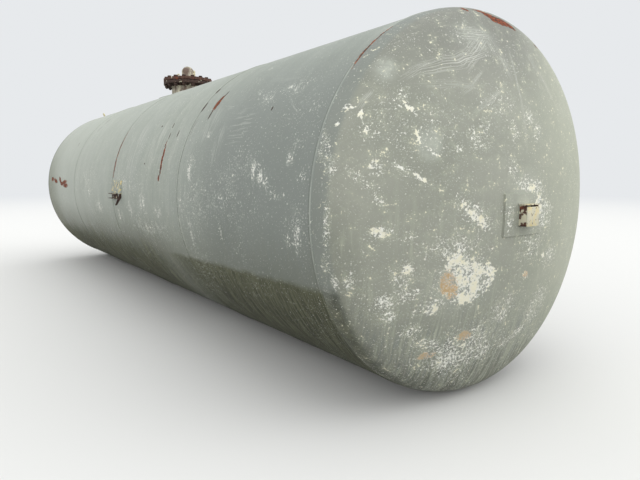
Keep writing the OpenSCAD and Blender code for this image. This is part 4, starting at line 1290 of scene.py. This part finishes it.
class TANK_OT_bracket(bpy.types.Operator):
    """Pad and box bracket on the near head"""

    bl_idname = "tank.bracket"
    bl_label = "Head bracket"

    def execute(self, context):
        self.pad()
        for side in ("left", "right"):
            dressed(f"bracket_{side}", f"bracket_cheek_{side}", "painted_iron", 0.001)
        dressed("bracket_top", "bracket_lid", "worn_cream_paint", 0.001)
        dressed("bracket_front", "bracket_face", "cream_paint", 0.001)
        return {"FINISHED"}

    def pad(self):
        """Curved plate under the bracket, fine enough to carry the head's marks."""
        low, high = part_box("head_pad")
        bm = bmesh.new()
        bmesh.ops.create_grid(bm, x_segments=28, y_segments=20, size=0.5)
        for vert in bm.verts:
            across, up = vert.co.x + 0.5, vert.co.y + 0.5
            vert.co = (0.0, low.y + across * (high.y - low.y), low.z + up * (high.z - low.z))
        made = bmesh.ops.extrude_face_region(bm, geom=list(bm.faces), use_keep_orig=True)
        outer = [part for part in made["geom"] if isinstance(part, bmesh.types.BMVert)]
        inner = [vert for vert in bm.verts if vert not in outer]
        for verts, extra in zip((outer, inner), PAD_FACES):
            for vert, place in zip(verts, onto_crown([vert.co for vert in verts], extra)):
                vert.co = place
        bmesh.ops.recalc_face_normals(bm, faces=bm.faces)
        pad = piece("bracket_pad", bm, "near_head_paint", ("head_pad",))
        keep_marks(pad.data, head_flat, speckle=HEAD_SPECKS, bare=HEAD_CREAM, haze=HEAD_HAZE)


class TANK_OT_flank(bpy.types.Operator):
    """Doubler plate, channel and strap on the flank"""

    bl_idname = "tank.flank"
    bl_label = "Flank fittings"

    def execute(self, context):
        dressed("flank_pad", "doubler_plate", "spotted_paint", 0.001)
        dressed("flank_channel", "channel_piece", "scaled_iron", 0.001)
        dressed("flank_strap", "strap_piece", "dark_iron", 0.001)
        return {"FINISHED"}


class TANK_OT_fillets(bpy.types.Operator):
    """Fillet welds that hold the fittings"""

    bl_idname = "tank.fillets"
    bl_label = "Fillet welds"

    def execute(self, context):
        saddle_low, saddle_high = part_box("manway_saddle")
        saddle_r = (saddle_high.x - saddle_low.x) / 2
        flange_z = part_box("manway_flange")[0].z
        fillet("saddle_bead", "bead_paint", [ring_path(saddle_r + SADDLE_BEAD_OUT, shell_height())], *SADDLE_FILLET)
        rings = [ring_path(NECK_BEAD_R, height) for height in (shell_height(SADDLE_T), lambda y: flange_z)]
        fillet("neck_beads", "painted_iron", rings, *NECK_FILLET)

        low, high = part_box("head_pad")
        rim = corner_path([(0, low.y, low.z), (0, high.y, low.z), (0, high.y, high.z), (0, low.y, high.z)], True)
        low_b, high_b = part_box("bracket_left")[0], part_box("bracket_right")[1]
        top_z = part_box("bracket_top")[1].z
        feet = [corner_path([(0, low_b.y, low_b.z), (0, low_b.y, top_z)], False),
                corner_path([(0, high_b.y, low_b.z), (0, high_b.y, top_z)], False),
                corner_path([(0, low_b.y - BRACKET_T, top_z), (0, high_b.y + BRACKET_T, top_z)], False)]
        on_pad = [(onto_crown(foot, PAD_T), False) for foot in feet]
        fillet("bracket_beads", "near_head_paint", [(onto_crown(rim), True)] + on_pad, *PLATE_FILLET)

        low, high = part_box("flank_pad")
        rim = corner_path([(low.x, 0, low.z), (high.x, 0, low.z), (high.x, 0, high.z), (low.x, 0, high.z)], True)
        fillet("doubler_bead", "spotted_paint", [(onto_shell(rim), True)], *PLATE_FILLET)
        return {"FINISHED"}


class TANK_PT_panel(bpy.types.Panel):
    """Steps that dress the tank, with the values they use"""

    bl_idname = "TANK_PT_panel"
    bl_label = "Pressure tank"
    bl_space_type = "VIEW_3D"
    bl_region_type = "UI"
    bl_category = "Tank"

    def draw(self, context):
        layout = self.layout
        for step in STEPS:
            layout.operator(step.bl_idname)
        for group in ("tank_sizes", "tank_colours", "manway_sizes", "stage_looks"):
            values = getattr(context.scene, group)
            box = layout.box()
            for key in values.__annotations__:
                box.prop(values, key)


STEPS = (TANK_OT_stage, TANK_OT_shell, TANK_OT_heads, TANK_OT_seams, TANK_OT_manway, TANK_OT_fittings,
         TANK_OT_bracket, TANK_OT_flank, TANK_OT_fillets)
GROUPS = {"tank_sizes": TankSizes, "tank_colours": TankColours, "manway_sizes": ManwaySizes,
          "stage_looks": StageLooks}


def register():
    for kind in (*GROUPS.values(), *STEPS, TANK_PT_panel):
        bpy.utils.register_class(kind)
    for name, kind in GROUPS.items():
        setattr(bpy.types.Scene, name, PointerProperty(type=kind))


def unregister():
    for name in GROUPS:
        delattr(bpy.types.Scene, name)
    for kind in reversed((*GROUPS.values(), *STEPS, TANK_PT_panel)):
        bpy.utils.unregister_class(kind)


def main():
    register()
    bpy.ops.tank.stage()
    bpy.ops.tank.shell()
    bpy.ops.tank.heads()
    bpy.ops.tank.seams()
    bpy.ops.tank.manway()
    bpy.ops.tank.fittings()
    bpy.ops.tank.bracket()
    bpy.ops.tank.flank()
    bpy.ops.tank.fillets()


if __name__ == "__main__":
    main()
